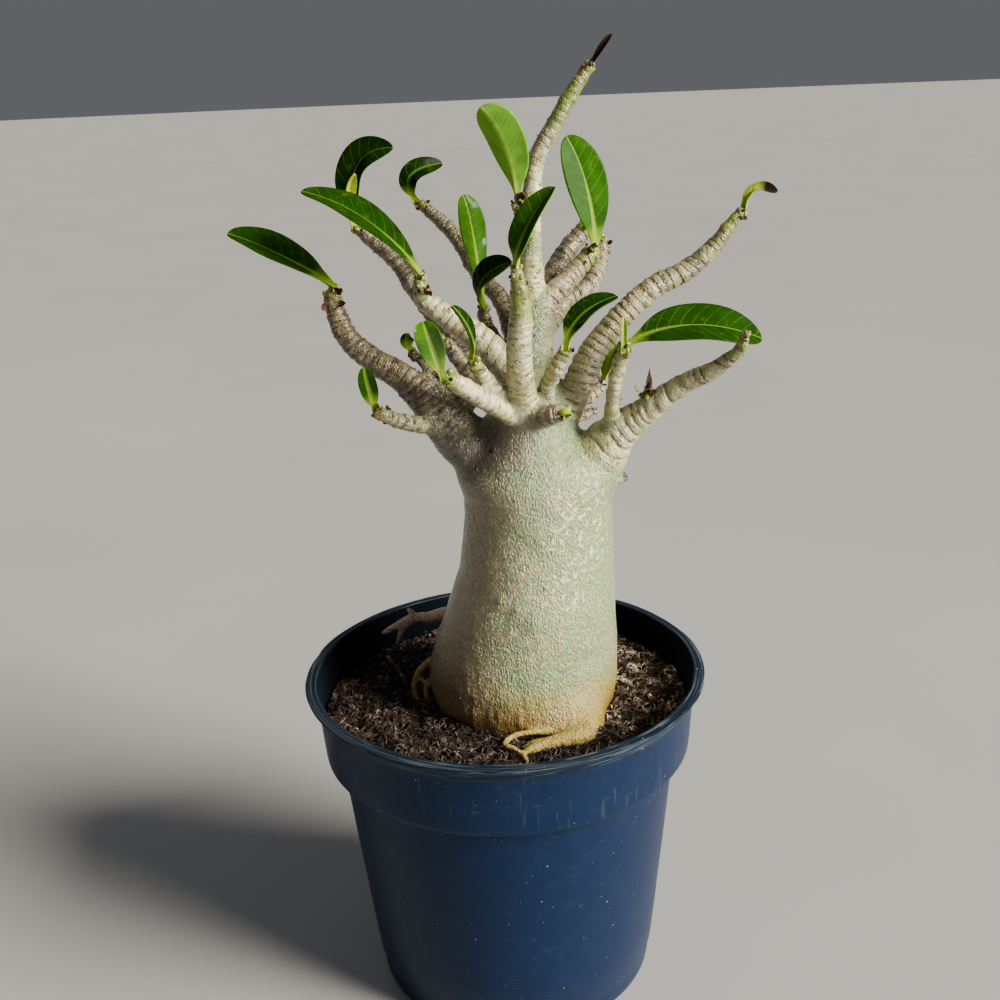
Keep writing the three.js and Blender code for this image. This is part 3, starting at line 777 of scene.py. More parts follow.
def scatter_crumbs(draw):
    """The crumbs and then the chips, in handfuls."""
    spots = np.array([drawn_spot(draw) for _ in range(CRUMBS + CHIPS)])
    heights = soil_height(*spots.T)
    handfuls = []
    for i, ((x, y), z) in enumerate(zip(spots, heights)):
        if i % HANDFUL == 0:
            handfuls.append(bmesh.new())
            layer = number_layer(handfuls[-1], "tone")
        if i < CRUMBS:
            size, tone = 0.32 + 1.15 * draw() ** 3, 0.02 + 0.8 * draw() ** 3.4
            flat = (1, 0.45 + 0.5 * draw(), 0.4 + 0.5 * draw())
        else:
            size, tone = 0.7 + 1.4 * draw() ** 2, 0.4 + 0.5 * draw()
            flat = (1.5, 0.45, 0.22)
        tone *= 0.8 + 0.2 * min(1, max(0, (x + 45) / 90))
        make_crumb(handfuls[-1], layer, (x, y, z + 0.25 * size * flat[2]), size, flat, tone, draw)
    return join_all(handfuls)


crumbs = finish_piece(scatter_crumbs(make_draw(77)), "soil_crumbs", peat, smooth=False)
print(count_faces(crumbs))

# %% [markdown]
# ## How the plant grows
# A desert rose stores water in a swollen trunk and grows short shoots with leaves at their
# tips. The same sections and points that shaped the plain solid are written out here, each
# shoot as a chain of x, y, z and radius in millimetres, from inside its parent to its tip.

# %% Trunk sections
# Height, centre x and y, half width and half depth
TRUNK_SECTIONS = [
    [72, 9, 2, 6, 6], [82, 9, 2, 15, 15], [93, 9, 2, 25, 24],
    [103, 8.5, 3.5, 30, 28.5], [111, 8, 3.5, 32.8, 32], [119, 7.5, 3, 34.8, 34.2],
    [127, 7.4, 2.5, 35.2, 34.5], [136, 8.3, 2, 34.2, 33], [145, 10, 1, 32.2, 31],
    [155, 11.5, 0.5, 30.6, 29.5], [166, 13.2, 0, 28.5, 27.5], [178, 14, 0, 27.2, 26],
    [188, 14.6, 0, 26.5, 25.5], [194, 14.8, 0, 26.6, 25], [199, 15, 0, 28.6, 24.6],
    [203, 14.4, 0, 29.6, 23.8], [209, 14, 0, 24, 21.5], [214, 13, 0, 18.6, 19],
    [220, 12.8, 0, 16, 17], [226, 13, 0, 14.2, 15.5], [232, 13.5, 0, 12.4, 13],
    [238, 14, 1, 8.5, 9],
]
# Angle in degrees, height, spread in degrees and bulge
ROOT_FLARES = [
    [-60, 111, 17, 12.5], [-88, 108, 22, 2], [160, 116, 26, 2.5], [-150, 114, 22, 1.5],
    [35, 110, 30, 3], [95, 112, 28, 3],
]
FLARE_HEIGHT = 9
print("trunk sections:", len(TRUNK_SECTIONS))

# %% Shoots and roots
BRANCHES = {
    "leader": [
        [15, 2, 215, 9.5], [15, 4.5, 228, 8], [15, 9, 245.5, 7], [15, 10.5, 257.5, 6.6],
        [15, 10.5, 266.5, 4.6], [15, 10.5, 277.5, 4], [16, 12, 295.5, 3.1], [18, 12, 309, 2.9],
        [25, 12, 321, 2.7], [32.5, 12, 333, 2.4], [37, 12, 338.5, 1.6],
    ],
    "front": [
        [12, -5, 217, 7], [10, -18, 234, 5], [9, -28.5, 252, 4], [10, -31.5, 266, 3.5],
        [9, -34.5, 279.5, 1.9],
    ],
    "leftLimb": [
        [8, 0, 203, 14], [-7, 0, 212, 10.6], [-15.5, 1, 219.5, 8.8], [-23, 2.5, 229, 6.6],
        [-32, 4.5, 237.5, 5], [-41.5, 6.5, 243.5, 4.3], [-49.5, 8.5, 250.5, 3.9],
        [-53.5, 10, 259.5, 3.5], [-54.5, 10, 268.5, 2.7],
    ],
    "leftSpur": [
        [-17, 0, 219, 4], [-24, -4.5, 222, 3.1], [-32, -9, 225, 2.6], [-40, -12, 229.5, 2.1],
    ],
    "backLeft": [
        [4, 9, 225.5, 5], [-6, 16.5, 237, 4], [-16, 25, 248, 3.6], [-22, 30, 256.5, 3.3],
        [-28, 35, 264.5, 3.2], [-33, 38, 272.5, 3], [-40.5, 42, 279, 2.7], [-48.5, 45, 286, 2.2],
    ],
    "innerLeft": [
        [12, 0, 229, 6.5], [4, 0, 242.5, 5.3], [-4.5, 0, 251.5, 4.7], [-12, -1.5, 257.5, 4.1],
        [-18, -1.5, 262, 3.6], [-22.5, -2.5, 266.5, 3], [-23, -3, 271, 1.9], [-22.5, -3, 274, 1.6],
    ],
    "darkBack": [
        [11, 11.5, 233.5, 4.5], [8, 27, 248, 3.6], [4, 33, 259, 3.2], [-1, 38, 264, 3],
        [-5.5, 42, 270, 2.9], [-9.5, 46, 277.5, 2.8], [-14.5, 50, 283.5, 2.7], [-25, 57, 292.5, 2],
    ],
    "darkStub": [
        [9, 11, 237.5, 3], [2, 21, 245.5, 2.5], [-2, 25.5, 252.5, 2.3], [-2, 27, 257.5, 1.9],
    ],
    "lowLeft": [
        [11, -11, 224.5, 4.6], [4, -20, 230, 3.4], [-2, -27, 235.5, 3.1], [-8, -34.5, 241.5, 3],
        [-14.5, -42.5, 248, 2.4],
    ],
    "midLeft": [
        [10, -7.5, 224, 4], [5, -16.5, 234, 2.9], [0, -23.5, 239.5, 2.6], [-6, -33, 250.5, 2.1],
    ],
    "brownStub": [
        [4, -2.5, 228, 3.4], [-6, -8, 238.5, 2.7], [-12, -12, 248, 2.4], [-16, -13.5, 254, 2],
    ],
    "dryTwig": [[-7, 0, 226, 3], [-13, 1, 232, 2.2], [-20, 4, 237.5, 1.9], [-28, 9, 245.5, 1.5]],
    "shortRight": [
        [18, -8, 225, 3.8], [18, -15.5, 236, 2.8], [20.5, -23, 243.5, 2.5], [24.5, -27, 252, 2],
    ],
    "upperRight": [
        [18, 0, 214, 8], [28, -4, 231, 5.6], [35, -3.5, 245.5, 4.6], [46.5, -2, 258.5, 4],
        [56, 0, 266, 3.8], [68.5, 2.5, 271.5, 3.4], [78, 3.5, 279.5, 2.7], [83.5, 4.5, 286.5, 1.9],
        [87.5, 5.5, 290.5, 1.3],
    ],
    "lowerRight": [
        [20, -2, 199.5, 14], [33.9, -5, 206.6, 11.2], [41.8, -8, 217, 7.4], [47.9, -11, 222.9, 5.4],
        [53.2, -14, 227.7, 4.3], [62.5, -19, 236, 3.4], [73, -26, 243, 2.8], [80, -32, 251, 1.7],
        [81, -33, 256, 1.2],
    ],
    "upright": [
        [39, -8, 214, 4], [40, -12, 223, 2.8], [40.5, -16, 232, 2.4], [41.5, -19.5, 241.5, 2.3],
        [44, -24, 251.5, 2.1],
    ],
    "backRight": [
        [20, 2, 218, 4], [30, 10, 225.5, 2.6], [35, 13.5, 225.5, 2.4], [40.5, 17, 229.5, 1.9],
    ],
    "drySpur": [[22, 4, 219, 3], [30, 9, 219, 2], [37, 13.5, 220, 1.4]],
    "budTuft": [[50, -11, 225, 2.4], [51.5, -15, 231, 1.8], [52.5, -18, 236, 1.2]],
    "fingerBack": [
        [14, 12, 249, 5], [18.5, 19.5, 259, 3.8], [26.5, 30, 272.5, 3.6], [37, 37.5, 283.5, 2.9],
    ],
    "fingerFront": [
        [15, 7.5, 249.5, 5], [20, 9, 260.5, 3.9], [28.5, 13.5, 268.5, 3.6], [37.5, 18, 277, 2.9],
    ],
    "fingerRight": [
        [15, 12, 248, 5.5], [27.5, 20, 259, 3.6], [35.5, 25, 262.5, 3.3], [39.5, 31, 267.5, 3.2],
        [41.5, 36, 272.5, 2.9], [42.5, 39, 279, 2.2],
    ],
    "leafSpur": [[16, 12, 276.5, 3], [14, 6, 285, 2.4], [11, 0, 296, 2]],
    "brokenStub": [[12, -13.5, 225.5, 4.5], [17, -19.5, 227.5, 3.7], [23, -24, 230, 3]],
}
ROOTS = {
    "dryRoot": [
        [-18, 20, 138, 3.4], [-23, 24, 137, 2.6], [-29, 28, 134, 2.2], [-36, 30, 133, 1.8],
        [-49, 31, 126, 1],
    ],
    "dryRootFork": [[-34, 30, 133, 1.5], [-40, 30, 129, 1.2], [-43, 29, 122, 0.8]],
    "dryRootNub": [[-34, 29, 133, 1.3], [-38, 31, 137, 0.9]],
    "leftStrand": [
        [-24, 8, 126, 2], [-30, 7, 124, 1.4], [-34, 5, 120, 1.2], [-35, 3, 114, 1.1],
        [-32, 1, 108, 1],
    ],
    "leftStrandInner": [
        [-25, 4, 120, 1.8], [-30, 3, 117, 1.2], [-30, 1, 112, 1.1], [-27, 1, 106, 1],
    ],
    "leftStrandLink": [[-34, 6, 120, 1], [-29, 3, 116, 0.9]],
    "frontRoot": [
        [29, -32, 114, 5], [23, -35.5, 114, 3.2], [17, -37.3, 113.8, 2.6],
        [11.5, -39.3, 113.6, 2.1], [7.5, -41.5, 113.2, 1.5], [3, -43.6, 111.6, 0.9],
    ],
    "frontRootFork": [[14, -37.5, 114, 1.8], [9, -38, 113.8, 1.3], [4.5, -39.6, 112, 0.8]],
    "frontLoop": [
        [20, -31, 115, 2], [14.5, -33, 115.6, 1.2], [8.5, -33.2, 115.6, 1], [3.6, -34, 115.3, 1],
        [0.3, -35.8, 114.7, 1], [-1.1, -38.7, 114, 1], [2, -41, 113.8, 1], [5.4, -44.4, 113, 0.9],
        [7, -48.5, 111, 0.9],
    ],
}
print("shoots:", len(BRANCHES), "roots:", len(ROOTS))

# %% [markdown]
# A shoot follows a smooth curve through its points. The curve is the centripetal Catmull-Rom
# curve, which makes no loops where points lie close together. It is sampled every half
# millimetre, with the distance grown so far and the radius there, because the tubes, the
# leaf scars and the colours of the bark are all placed by these samples.

# %% Centre lines
SAMPLE_STEP = 0.5


def curve_piece(p0, p1, p2, p3, count):
    """Points of one stretch of the curve, from p1 up to p2."""
    pairs = ((p0, p1), (p1, p2), (p2, p3))
    gap0, gap1, gap2 = (max((b - a).length, 1e-6) ** 0.5 for a, b in pairs)
    start = ((p1 - p0) / gap0 - (p2 - p0) / (gap0 + gap1) + (p2 - p1) / gap1) * gap1
    end = ((p2 - p1) / gap1 - (p3 - p1) / (gap1 + gap2) + (p3 - p2) / gap2) * gap1
    cubic = 2 * p1 - 2 * p2 + start + end
    square = 3 * p2 - 3 * p1 - 2 * start - end
    for i in range(count):
        t = i / count
        yield ((cubic * t + square) * t + start) * t + p1, t


def side_directions(heading):
    """A pair of side directions for every sample that turn as little as they can."""
    first = np.array([0.0, 0, 1]) if abs(heading[0][2]) < 0.8 else np.array([1.0, 0, 0])
    across, third = [], []
    for direction in heading:
        first = first - direction * first.dot(direction)
        first = first / np.linalg.norm(first)
        across.append(first)
        third.append(np.cross(direction, first))
    return np.array(across), np.array(third)


def centre_line(points):
    """Samples of one shoot: places, radii, distances along it, heading and side directions."""
    knots = [Vector(p[:3]) for p in points]
    chain = [2 * knots[0] - knots[1], *knots, 2 * knots[-1] - knots[-2]]
    places, radii = [], []
    for i in range(len(knots) - 1):
        count = max(3, round((knots[i + 1] - knots[i]).length / SAMPLE_STEP))
        for place, t in curve_piece(*chain[i:i + 4], count):
            places.append(place)
            radii.append(points[i][3] * (1 - t) + points[i + 1][3] * t)
    places.append(knots[-1])
    radii.append(points[-1][3])
    places = np.array(places)
    steps = np.linalg.norm(np.diff(places, axis=0), axis=1)
    along = np.concatenate([[0], np.cumsum(steps)])
    heading = np.gradient(places, axis=0)
    heading /= np.linalg.norm(heading, axis=1)[:, None]
    across, third = side_directions(heading)
    return {"places": places, "radii": np.array(radii), "along": along, "heading": heading,
            "across": across, "third": third}


LINES = {name: centre_line(points) for name, points in {**BRANCHES, **ROOTS}.items()}
print("length of all shoots:", round(sum(line["along"][-1] for line in LINES.values())), "mm")

# %% [markdown]
# ## One skin for the plant
# Each shoot is swept as a tube: a circle is extruded ring by ring, and every ring is put in
# place by a matrix. The trunk is swept the same way, from its buried taproot up, through oval
# sections that swell into root flares at the soil. The tubes overlap where shoots branch off.

# %% Sweep the shoots and the trunk
TUBE_SIDES = 18
TUBE_STEP = 2
TRUNK_SIDES = 72
TRUNK_BOTTOM, TRUNK_TOP, TRUNK_STEP = 70, 240.5, 2


def sweep_tube(bm, line):
    """Sweeps one shoot; its last rings shrink to a rounded tip."""
    last = len(line["radii"]) - 1
    rounding = {last: 0.55, last - 1: 0.88}
    before = None
    for stop in [*range(0, last - 2, TUBE_STEP), last - 1, last]:
        radius = line["radii"][stop] * rounding.get(stop, 1.0) * MM
        axes = [Vector(line[key][stop]) for key in ("across", "third", "heading")]
        place = Matrix.Translation(Vector(line["places"][stop]) * MM)
        place = place @ Matrix(axes).transposed().to_4x4() @ Matrix.Scale(radius, 4)
        if before is None:
            ring = ring_of(bmesh.ops.create_circle(
                bm, cap_ends=True, segments=TUBE_SIDES, radius=1, matrix=place)["verts"])
        else:
            ring = extrude_ring(bm, ring)
            bmesh.ops.transform(bm, matrix=place @ before.inverted(), verts=ring_corners(ring))
        before = place
    bmesh.ops.contextual_create(bm, geom=ring)


trunk_heights = np.array([row[0] for row in TRUNK_SECTIONS], float)
trunk_values = np.array([row[1:] for row in TRUNK_SECTIONS], float)


def trunk_section(z):
    """Centre x, centre y, half width and half depth of the trunk at heights z."""
    return [np.interp(z, trunk_heights, trunk_values[:, k]) for k in range(4)]


def flare_bulge(angle, z):
    """How far the root flares push the trunk out, by angle in degrees and height."""
    bulge = np.zeros_like(angle)
    for flare_angle, height, spread, size in ROOT_FLARES:
        turn = (angle - flare_angle + 540) % 360 - 180
        rise = np.exp(-((z - height) / FLARE_HEIGHT) ** 2)
        bulge = bulge + size * rise * np.exp(-(turn / spread) ** 2)
    return bulge


def sweep_trunk(bm):
    layer = number_layer(bm, "turn")
    made = bmesh.ops.create_circle(bm, cap_ends=True, segments=TRUNK_SIDES, radius=MM)["verts"]
    for vertex in made:
        vertex[layer] = math.atan2(vertex.co.y, vertex.co.x)
    ring = ring_of(made)
    for z in np.arange(TRUNK_BOTTOM, TRUNK_TOP, TRUNK_STEP):
        if z > TRUNK_BOTTOM:
            ring = extrude_ring(bm, ring)
        cx, cy, rx, ry = trunk_section(z)
        shrink = min(1.0, 0.35 + 0.65 * (z - 68) / 8, 0.4 + 0.6 * (TRUNK_TOP - z) / 5)
        for vertex in ring_corners(ring):
            turn = vertex[layer]
            bulge = flare_bulge(np.array(math.degrees(turn)), z)
            vertex.co = Vector((cx + (rx * shrink + bulge) * math.cos(turn),
                                cy + (ry * shrink + bulge) * math.sin(turn), z)) * MM
    bmesh.ops.contextual_create(bm, geom=ring)


def sweep_plant():
    parts = [bmesh.new() for _ in range(len(LINES) + 1)]
    sweep_trunk(parts[0])
    for part, line in zip(parts[1:], LINES.values()):
        sweep_tube(part, line)
    for part in parts:
        bmesh.ops.recalc_face_normals(part, faces=part.faces)
    return join_all(parts)


swept = sweep_plant()
print("swept tubes:", len(swept.verts), "vertices")

# %% [markdown]
# The overlapping tubes become one skin. A boolean union would leave a sharp crease at every
# fork, where living wood is filleted. A voxel remesh gives one even net instead, whose
# vertices near a fork can be smoothed until the fork is webbed.

# %% Join into one skin
VOXEL = 0.62
SOFTEN_ALL = 3
SOFTEN_FORKS = 12
SOFTEN_LIMBS = 60
FORK_SHARE = 0.45
THICK_LIMB = 6.5


def voxel_skin(bm):
    """One closed skin round everything in the bmesh, as a mesh."""
    mesh = bpy.data.meshes.new("swept")
    bm.to_mesh(mesh)
    bm.free()
    holder = place_object("swept", mesh)
    remesh = holder.modifiers.new("one skin", "REMESH")
    remesh.mode = "VOXEL"
    remesh.voxel_size = VOXEL * MM
    return read_back(holder)


def mesh_points(mesh):
    """The vertex places in millimetres as an array."""
    flat = np.zeros(len(mesh.vertices) * 3)
    mesh.vertices.foreach_get("co", flat)
    return flat.reshape(-1, 3) / MM


def soften(bm, corners, times):
    for _ in range(times):
        bmesh.ops.smooth_vert(bm, verts=corners, factor=0.5, use_axis_x=True, use_axis_y=True,
                              use_axis_z=True)


skin_mesh = voxel_skin(swept)
print("skin:", len(skin_mesh.vertices), "vertices")

# %% [markdown]
# ## Where on the plant is this vertex?
# Scars, greenness and brown stains follow the growth, so every vertex has to know its shoot,
# how far along that shoot it lies and at which angle. For each shoot the nearest sample is
# found, and the shoot whose surface passes closest owns the vertex. The second closest tells
# how near a fork is.

# %% Read the growth
NAMES = list(LINES)
TRUNK = len(NAMES)
TRUNK_END = 240
FAR_OFF = 50.0


def near_line(points, line, reach):
    """Vertices near one shoot, with their distance off its surface and nearest sample."""
    low = line["places"].min(axis=0) - line["radii"].max() - reach
    high = line["places"].max(axis=0) + line["radii"].max() + reach
    chosen = np.flatnonzero(np.all((points > low) & (points < high), axis=1))
    off = np.full(len(chosen), np.inf)
    nearest = np.zeros(len(chosen), int)
    for k in range(len(line["radii"])):
        gap = np.linalg.norm(points[chosen] - line["places"][k], axis=1) - line["radii"][k]
        closer = gap < off
        off[closer] = gap[closer]
        nearest[closer] = k
    return chosen, off, nearest


def trunk_gap(points):
    """Distance of points off the trunk's surface."""
    cx, cy, rx, ry = trunk_section(points[:, 2])
    dx, dy = points[:, 0] - cx, points[:, 1] - cy
    angle = np.degrees(np.arctan2(dy / ry, dx / rx))
    bulge = flare_bulge(angle, points[:, 2])
    turn = np.radians(angle)
    radius = np.hypot((rx + bulge) * np.cos(turn), (ry + bulge) * np.sin(turn))
    over_top = np.maximum(points[:, 2] - TRUNK_END, 0)
    return np.hypot(dx, dy) - radius + over_top


def read_growth(points, reach=3.0):
    """Owner, nearest sample, gap to the next owner and radius of the thickest limb near by."""
    best, second = trunk_gap(points), np.full(len(points), FAR_OFF)
    owner = np.full(len(points), TRUNK)
    sample = np.zeros(len(points), int)
    limb = np.zeros(len(points))
    for number, name in enumerate(NAMES):
        chosen, gap, nearest = near_line(points, LINES[name], reach)
        wins = gap < best[chosen]
        second[chosen] = np.where(wins, best[chosen], np.minimum(second[chosen], gap))
        best[chosen] = np.where(wins, gap, best[chosen])
        radius = LINES[name]["radii"][nearest]
        limb[chosen] = np.maximum(limb[chosen], np.where(gap < 0.5 * radius, radius, 0))
        owner[chosen[wins]] = number
        sample[chosen[wins]] = nearest[wins]
    return {"owner": owner, "sample": sample, "gap": second - best, "limb": limb}


def web_forks(mesh):
    """Smooths the voxel steps a little everywhere and much more near the forks."""
    growth = read_growth(mesh_points(mesh))
    bm = bmesh.new()
    bm.from_mesh(mesh)
    bm.verts.ensure_lookup_table()
    soften(bm, bm.verts, SOFTEN_ALL)
    near = growth["gap"] < FORK_SHARE * growth["limb"]
    forks = [bm.verts[i] for i in np.flatnonzero(near)]
    soften(bm, forks, SOFTEN_FORKS)
    limbs = [bm.verts[i] for i in np.flatnonzero(near & (growth["limb"] > THICK_LIMB))]
    soften(bm, limbs, SOFTEN_LIMBS)
    bm.to_mesh(mesh)
    bm.free()
    return len(forks)


print("vertices near forks:", web_forks(skin_mesh))

# %% [markdown]
# ## Rings, leaf scars and wrinkles
# Each leaf that falls leaves an oval scar on a swollen ring, so a shoot looks like a stack of
# uneven beads with narrow creases between them. Scars climb the shoot in a spiral of about
# 137 degrees. Bump in the material would leave the outline smooth, so rings and swollen scars
# are pushed into the mesh, and only crease lines, scar rims and grain are left to the material.

# %% Relief
RING_PITCH = 3.3
RING_HEIGHT = 0.5
# How sharp a crease is, and the part of a ring that lies below the plain surface
RING_SHARPNESS, RING_SINK = 0.7, 0.62
SCAR_TURN = 137.5
SCAR_STEP = 2.3
SCAR_HEIGHT = 0.32
THICK = 10.0
SWELL = 0.12


def shoot_skin(points, growth, number):
    """Where the vertices of one shoot lie on it: distance along, angle, radius."""
    line = LINES[NAMES[number]]
    own = np.flatnonzero(growth["owner"] == number)
    sample = growth["sample"][own]
    arm = points[own] - line["places"][sample]
    ahead, x, y = (np.einsum("ij,ij->i", arm, line[key][sample])
                   for key in ("heading", "across", "third"))
    run = line["along"][sample] + ahead
    return own, run, np.arctan2(y, x), line["radii"][sample], line["along"][-1]


def ring_relief(run, angle, radius, seed, pitch, thick):
    """Height of broad rings in mm, and a count of rings that is whole in each crease."""
    lean = 0.17 * np.cos(angle - 2.4 * seed + 0.12 * run) + 0.06 * np.cos(2 * angle + seed)
    uneven = 0.8 * field(np.stack([run, 0 * run + 9 * seed, 0 * run], 1), 6.0, 31)
    uneven += 0.35 * field(np.stack([run, angle * radius, 0 * run + 7 * seed], 1), 9.0, 33)
    count = run / pitch + lean + uneven + 0.37 * seed + 5
    wave = np.abs(np.sin(math.pi * count))
    local = 0.75 + 0.5 * field(np.stack([run, angle * radius, 0 * run + seed], 1), 4.0, 32)
    size = RING_HEIGHT * np.clip(local, 0.3, 1.3) * np.clip((thick + 3 - radius) / 6, 0.1, 1)
    size = size * np.clip(radius / 4.0, 0.4, 1.0)
    return size * (wave ** RING_SHARPNESS - RING_SINK), count


def scar_relief(run, angle, radius, total, seed):
    """Height in mm of the swollen leaf scars, which climb the shoot in a spiral."""
    height = np.zeros_like(run)
    draw = make_draw(400 + seed)
    place, turn = 2.0, 360 * draw()
    while place < total + 1:
        width, tall = 1.3 + 0.6 * draw(), 0.9 + 0.4 * draw()
        away = (angle - math.radians(turn) + math.pi) % (2 * math.pi) - math.pi
        spot = np.hypot(away * radius / width, (run - place) / tall)
        height += SCAR_HEIGHT * np.exp(-((spot - 0.7) / 0.5) ** 2)
        place += SCAR_STEP * (0.7 + 0.6 * draw())
        turn += SCAR_TURN + 24 * (draw() - 0.5)
    return height * np.clip((THICK + 1 - radius) / 4, 0, 1)


# Knobs on the trunk: where, radius, height and depth of the pit in the middle
KNOBS = [
    ((43.6, -3, 199.8), 2.4, 3.4, 0.0), ((-1.5, -11.8, 214.3), 2.4, 0.8, 1.4),
    ((25.7, -17.2, 210.1), 1.6, 1.0, 0.8), ((26.2, -25, 159.3), 1.0, 0.5, 0.3),
    ((15.2, -27, 168.3), 0.9, 0.4, 0.3), ((29.2, -23.8, 143.4), 1.0, 0.4, 0.3),
    ((6, -27, 160), 2.6, 0.6, 0), ((11, -28.6, 155), 3.0, 0.6, 0), ((2.5, -26.8, 152), 2.0, 0.5, 0),
    ((12.5, -29, 149), 1.6, 0.5, 0.2), ((-0.5, -25.5, 163), 1.5, 0.5, 0),
]


def trunk_relief(points):
    """Slow swells, fine upright wrinkles and a few knobs of the swollen trunk."""
    upright = points * np.array([1, 1, 0.3])
    low = ease((150 - points[:, 2]) / 40)
    swell = 0.45 * field(points, 17.0, 41) + 0.2 * field(points, 6.0, 42)
    height = swell + (0.06 + 0.16 * low) * field(upright, 1.5, 43) + 0.04 * field(points, 1.3, 44)
    for centre, radius, rise, pit in KNOBS:
        away = np.linalg.norm(points - np.array(centre), axis=1) / radius
        height += rise * np.exp(-away ** 2) - pit * np.exp(-(away / 0.45) ** 2)
    return height


print("knobs on the trunk:", len(KNOBS))

# %% [markdown]
# No two shoots have aged alike. Tables name the shoots that differ from the rest: how many
# millimetres of the tip are still green, how brown the shoot is, how tall and how far apart its
# rings are, how plain its crease lines are, and how much painted shade lies on its side away from
# the light.

# %% Colour by growth
GREEN_TIP = {"leader": 27, "upperRight": 17, "front": 17, "lowerRight": 13, "upright": 4,
             "innerLeft": 8, "fingerFront": 7, "shortRight": 4, "midLeft": 4, "lowLeft": 4,
             "leafSpur": 26, "leftLimb": 5, "budTuft": 3, "leftSpur": 3, "fingerRight": 5,
             "fingerBack": 5, "backLeft": 4, "darkStub": 2.5, "drySpur": 0, "backRight": 0,
             "dryTwig": 0, "brokenStub": 0, "brownStub": 1.5}
BROWN = {"leftLimb": 1.05, "leftSpur": 0.3, "backLeft": 1.0, "darkBack": 1.0, "darkStub": 0.9,
         "brownStub": 1.0, "dryTwig": 1.0, "midLeft": 0.15, "lowLeft": 0.1, "innerLeft": 0.3,
         "fingerBack": 1.0, "fingerFront": 0.6, "fingerRight": 0.75, "upperRight": 0.45,
         "lowerRight": 0.06, "leader": 0.05, "drySpur": 0.9, "backRight": 0.4, "brokenStub": 0.9,
         "budTuft": 0.9, "dryRoot": 0.2, "dryRootFork": 0.2, "dryRootNub": 0.2}
# Shoots that are browner towards the tip
TIP_BROWN = {"leader": 0.6, "upperRight": 0.35, "lowerRight": 0.3, "front": 0.15}
RING_SCALE = {"leader": 0.4, "upright": 0.8, "innerLeft": 0.8, "front": 0.8, "lowerRight": 1.25,
              "upperRight": 1.2}
PITCH_SCALE = {"leader": 0.8, "lowerRight": 1.45, "leftLimb": 0.85}
THICKER = {"lowerRight": 14.0}
# The values of every other shoot, and of the roots
PLAIN_GREEN, PLAIN_BROWN, PLAIN_LINES = 4, 0.1, 0.75
ROOT_RINGS, ROOT_PAINTED_SHADE = 0.35, 0.3
# How far from the tip the brown of TIP_BROWN begins, and over how long it sets in
BROWN_START, BROWN_FADE = 48, 25
LINES_SHOWN = {"leader": 0.25, "upright": 0.35, "lowerRight": 0.7, "upperRight": 0.7, "front": 0.3,
               "innerLeft": 0.45, "lowLeft": 0.4, "midLeft": 0.6, "leftSpur": 0.6}
# Shoots that stand free catch light from below as well, so less painted shade is laid on them
PAINTED_SHADE_SHARE = {"lowerRight": 0.45, "shortRight": 0.3, "innerLeft": 0.7}
# Painted light and shade: the side facing the key light stays pale, the side turned away from it is
# painted olive and brown as shade
KEY_LIGHT_SIDE = np.array([0.70, -0.32, 0.64])


def painted_shade_share(name):
    return ROOT_PAINTED_SHADE if name in ROOTS else PAINTED_SHADE_SHARE.get(name, 1)


def grow_details(mesh, push):
    """Works out relief and colour masks for every vertex, and pushes the relief in."""
    points = mesh_points(mesh)
    growth = read_growth(points)
    masks = {key: np.zeros(len(points))
             for key in ("rings", "lines", "shoot", "green", "brown", "yellow", "dead")}
    # Painted shade: a mask of the side turned away from the key light
    masks["painted_shade"] = ease(0.45 - 0.75 * mesh_normals(mesh) @ KEY_LIGHT_SIDE)
    height = trunk_relief(points)
    skin = points.copy()
    near_fork = ease(growth["gap"] / 2.4)
    for number, name in enumerate(NAMES):
        own, run, angle, radius, total = shoot_skin(points, growth, number)
        root, dead = name in ROOTS, name.startswith("dryRoot")
        yellow = root and not dead
        pitch = RING_PITCH * (0.85 + 0.03 * (number % 11)) * PITCH_SCALE.get(name, 1)
        thick = THICKER.get(name, THICK)
        rings, ring_count = ring_relief(run, angle, radius, number, pitch, thick)
        scars = scar_relief(run, angle, radius, total, number)
        calm = ROOT_RINGS if root else RING_SCALE.get(name, 1.0)
        fork = near_fork[own]
        fine = 0.05 * field(points[own], 1.4, 45)
        grown = rings * calm + scars * (not root) + fine
        height[own] = height[own] * (1 - fork) * 0.5 + fork * grown
        length = GREEN_TIP.get(name, 0 if root else PLAIN_GREEN)
        near_tip = ease((run - total + BROWN_START) / BROWN_FADE)
        aged = BROWN.get(name, PLAIN_BROWN) + TIP_BROWN.get(name, 0) * near_tip
        shown = LINES_SHOWN.get(name, PLAIN_LINES)
        for key, values in (
                ("rings", ring_count),
                ("lines", shown * np.clip((thick - radius) / 4, 0.1, 1)),
                ("shoot", fork * np.clip((THICK + 3 - radius) / 5, 0, 1) * (not yellow)),
                ("green", ease((run - total + 1.4 * length) / (length + 0.1)) if length else 0),
                ("brown", aged * np.clip((13.5 - radius) / 4, 0, 1)),
                ("yellow", yellow), ("dead", dead),
                ("painted_shade", masks["painted_shade"][own] * painted_shade_share(name))):
            masks[key][own] = values
        turned = np.stack([run, radius * np.cos(angle), radius * np.sin(angle)], 1)
        skin[own] = turned + np.array([0, 31 * number, 17 * number])
    if push:
        push_out(mesh, points, height)
    store(mesh, masks, skin)
    return masks


def mesh_normals(mesh):
    normals = np.zeros(len(mesh.vertices) * 3)
    mesh.vertices.foreach_get("normal", normals)
    return normals.reshape(-1, 3)


def push_out(mesh, points, height):
    """Moves each vertex along its normal by the relief."""
    moved = points + mesh_normals(mesh) * (height + SWELL)[:, None]
    mesh.vertices.foreach_set("co", (moved * MM).astype(np.float32).ravel())
    mesh.update()


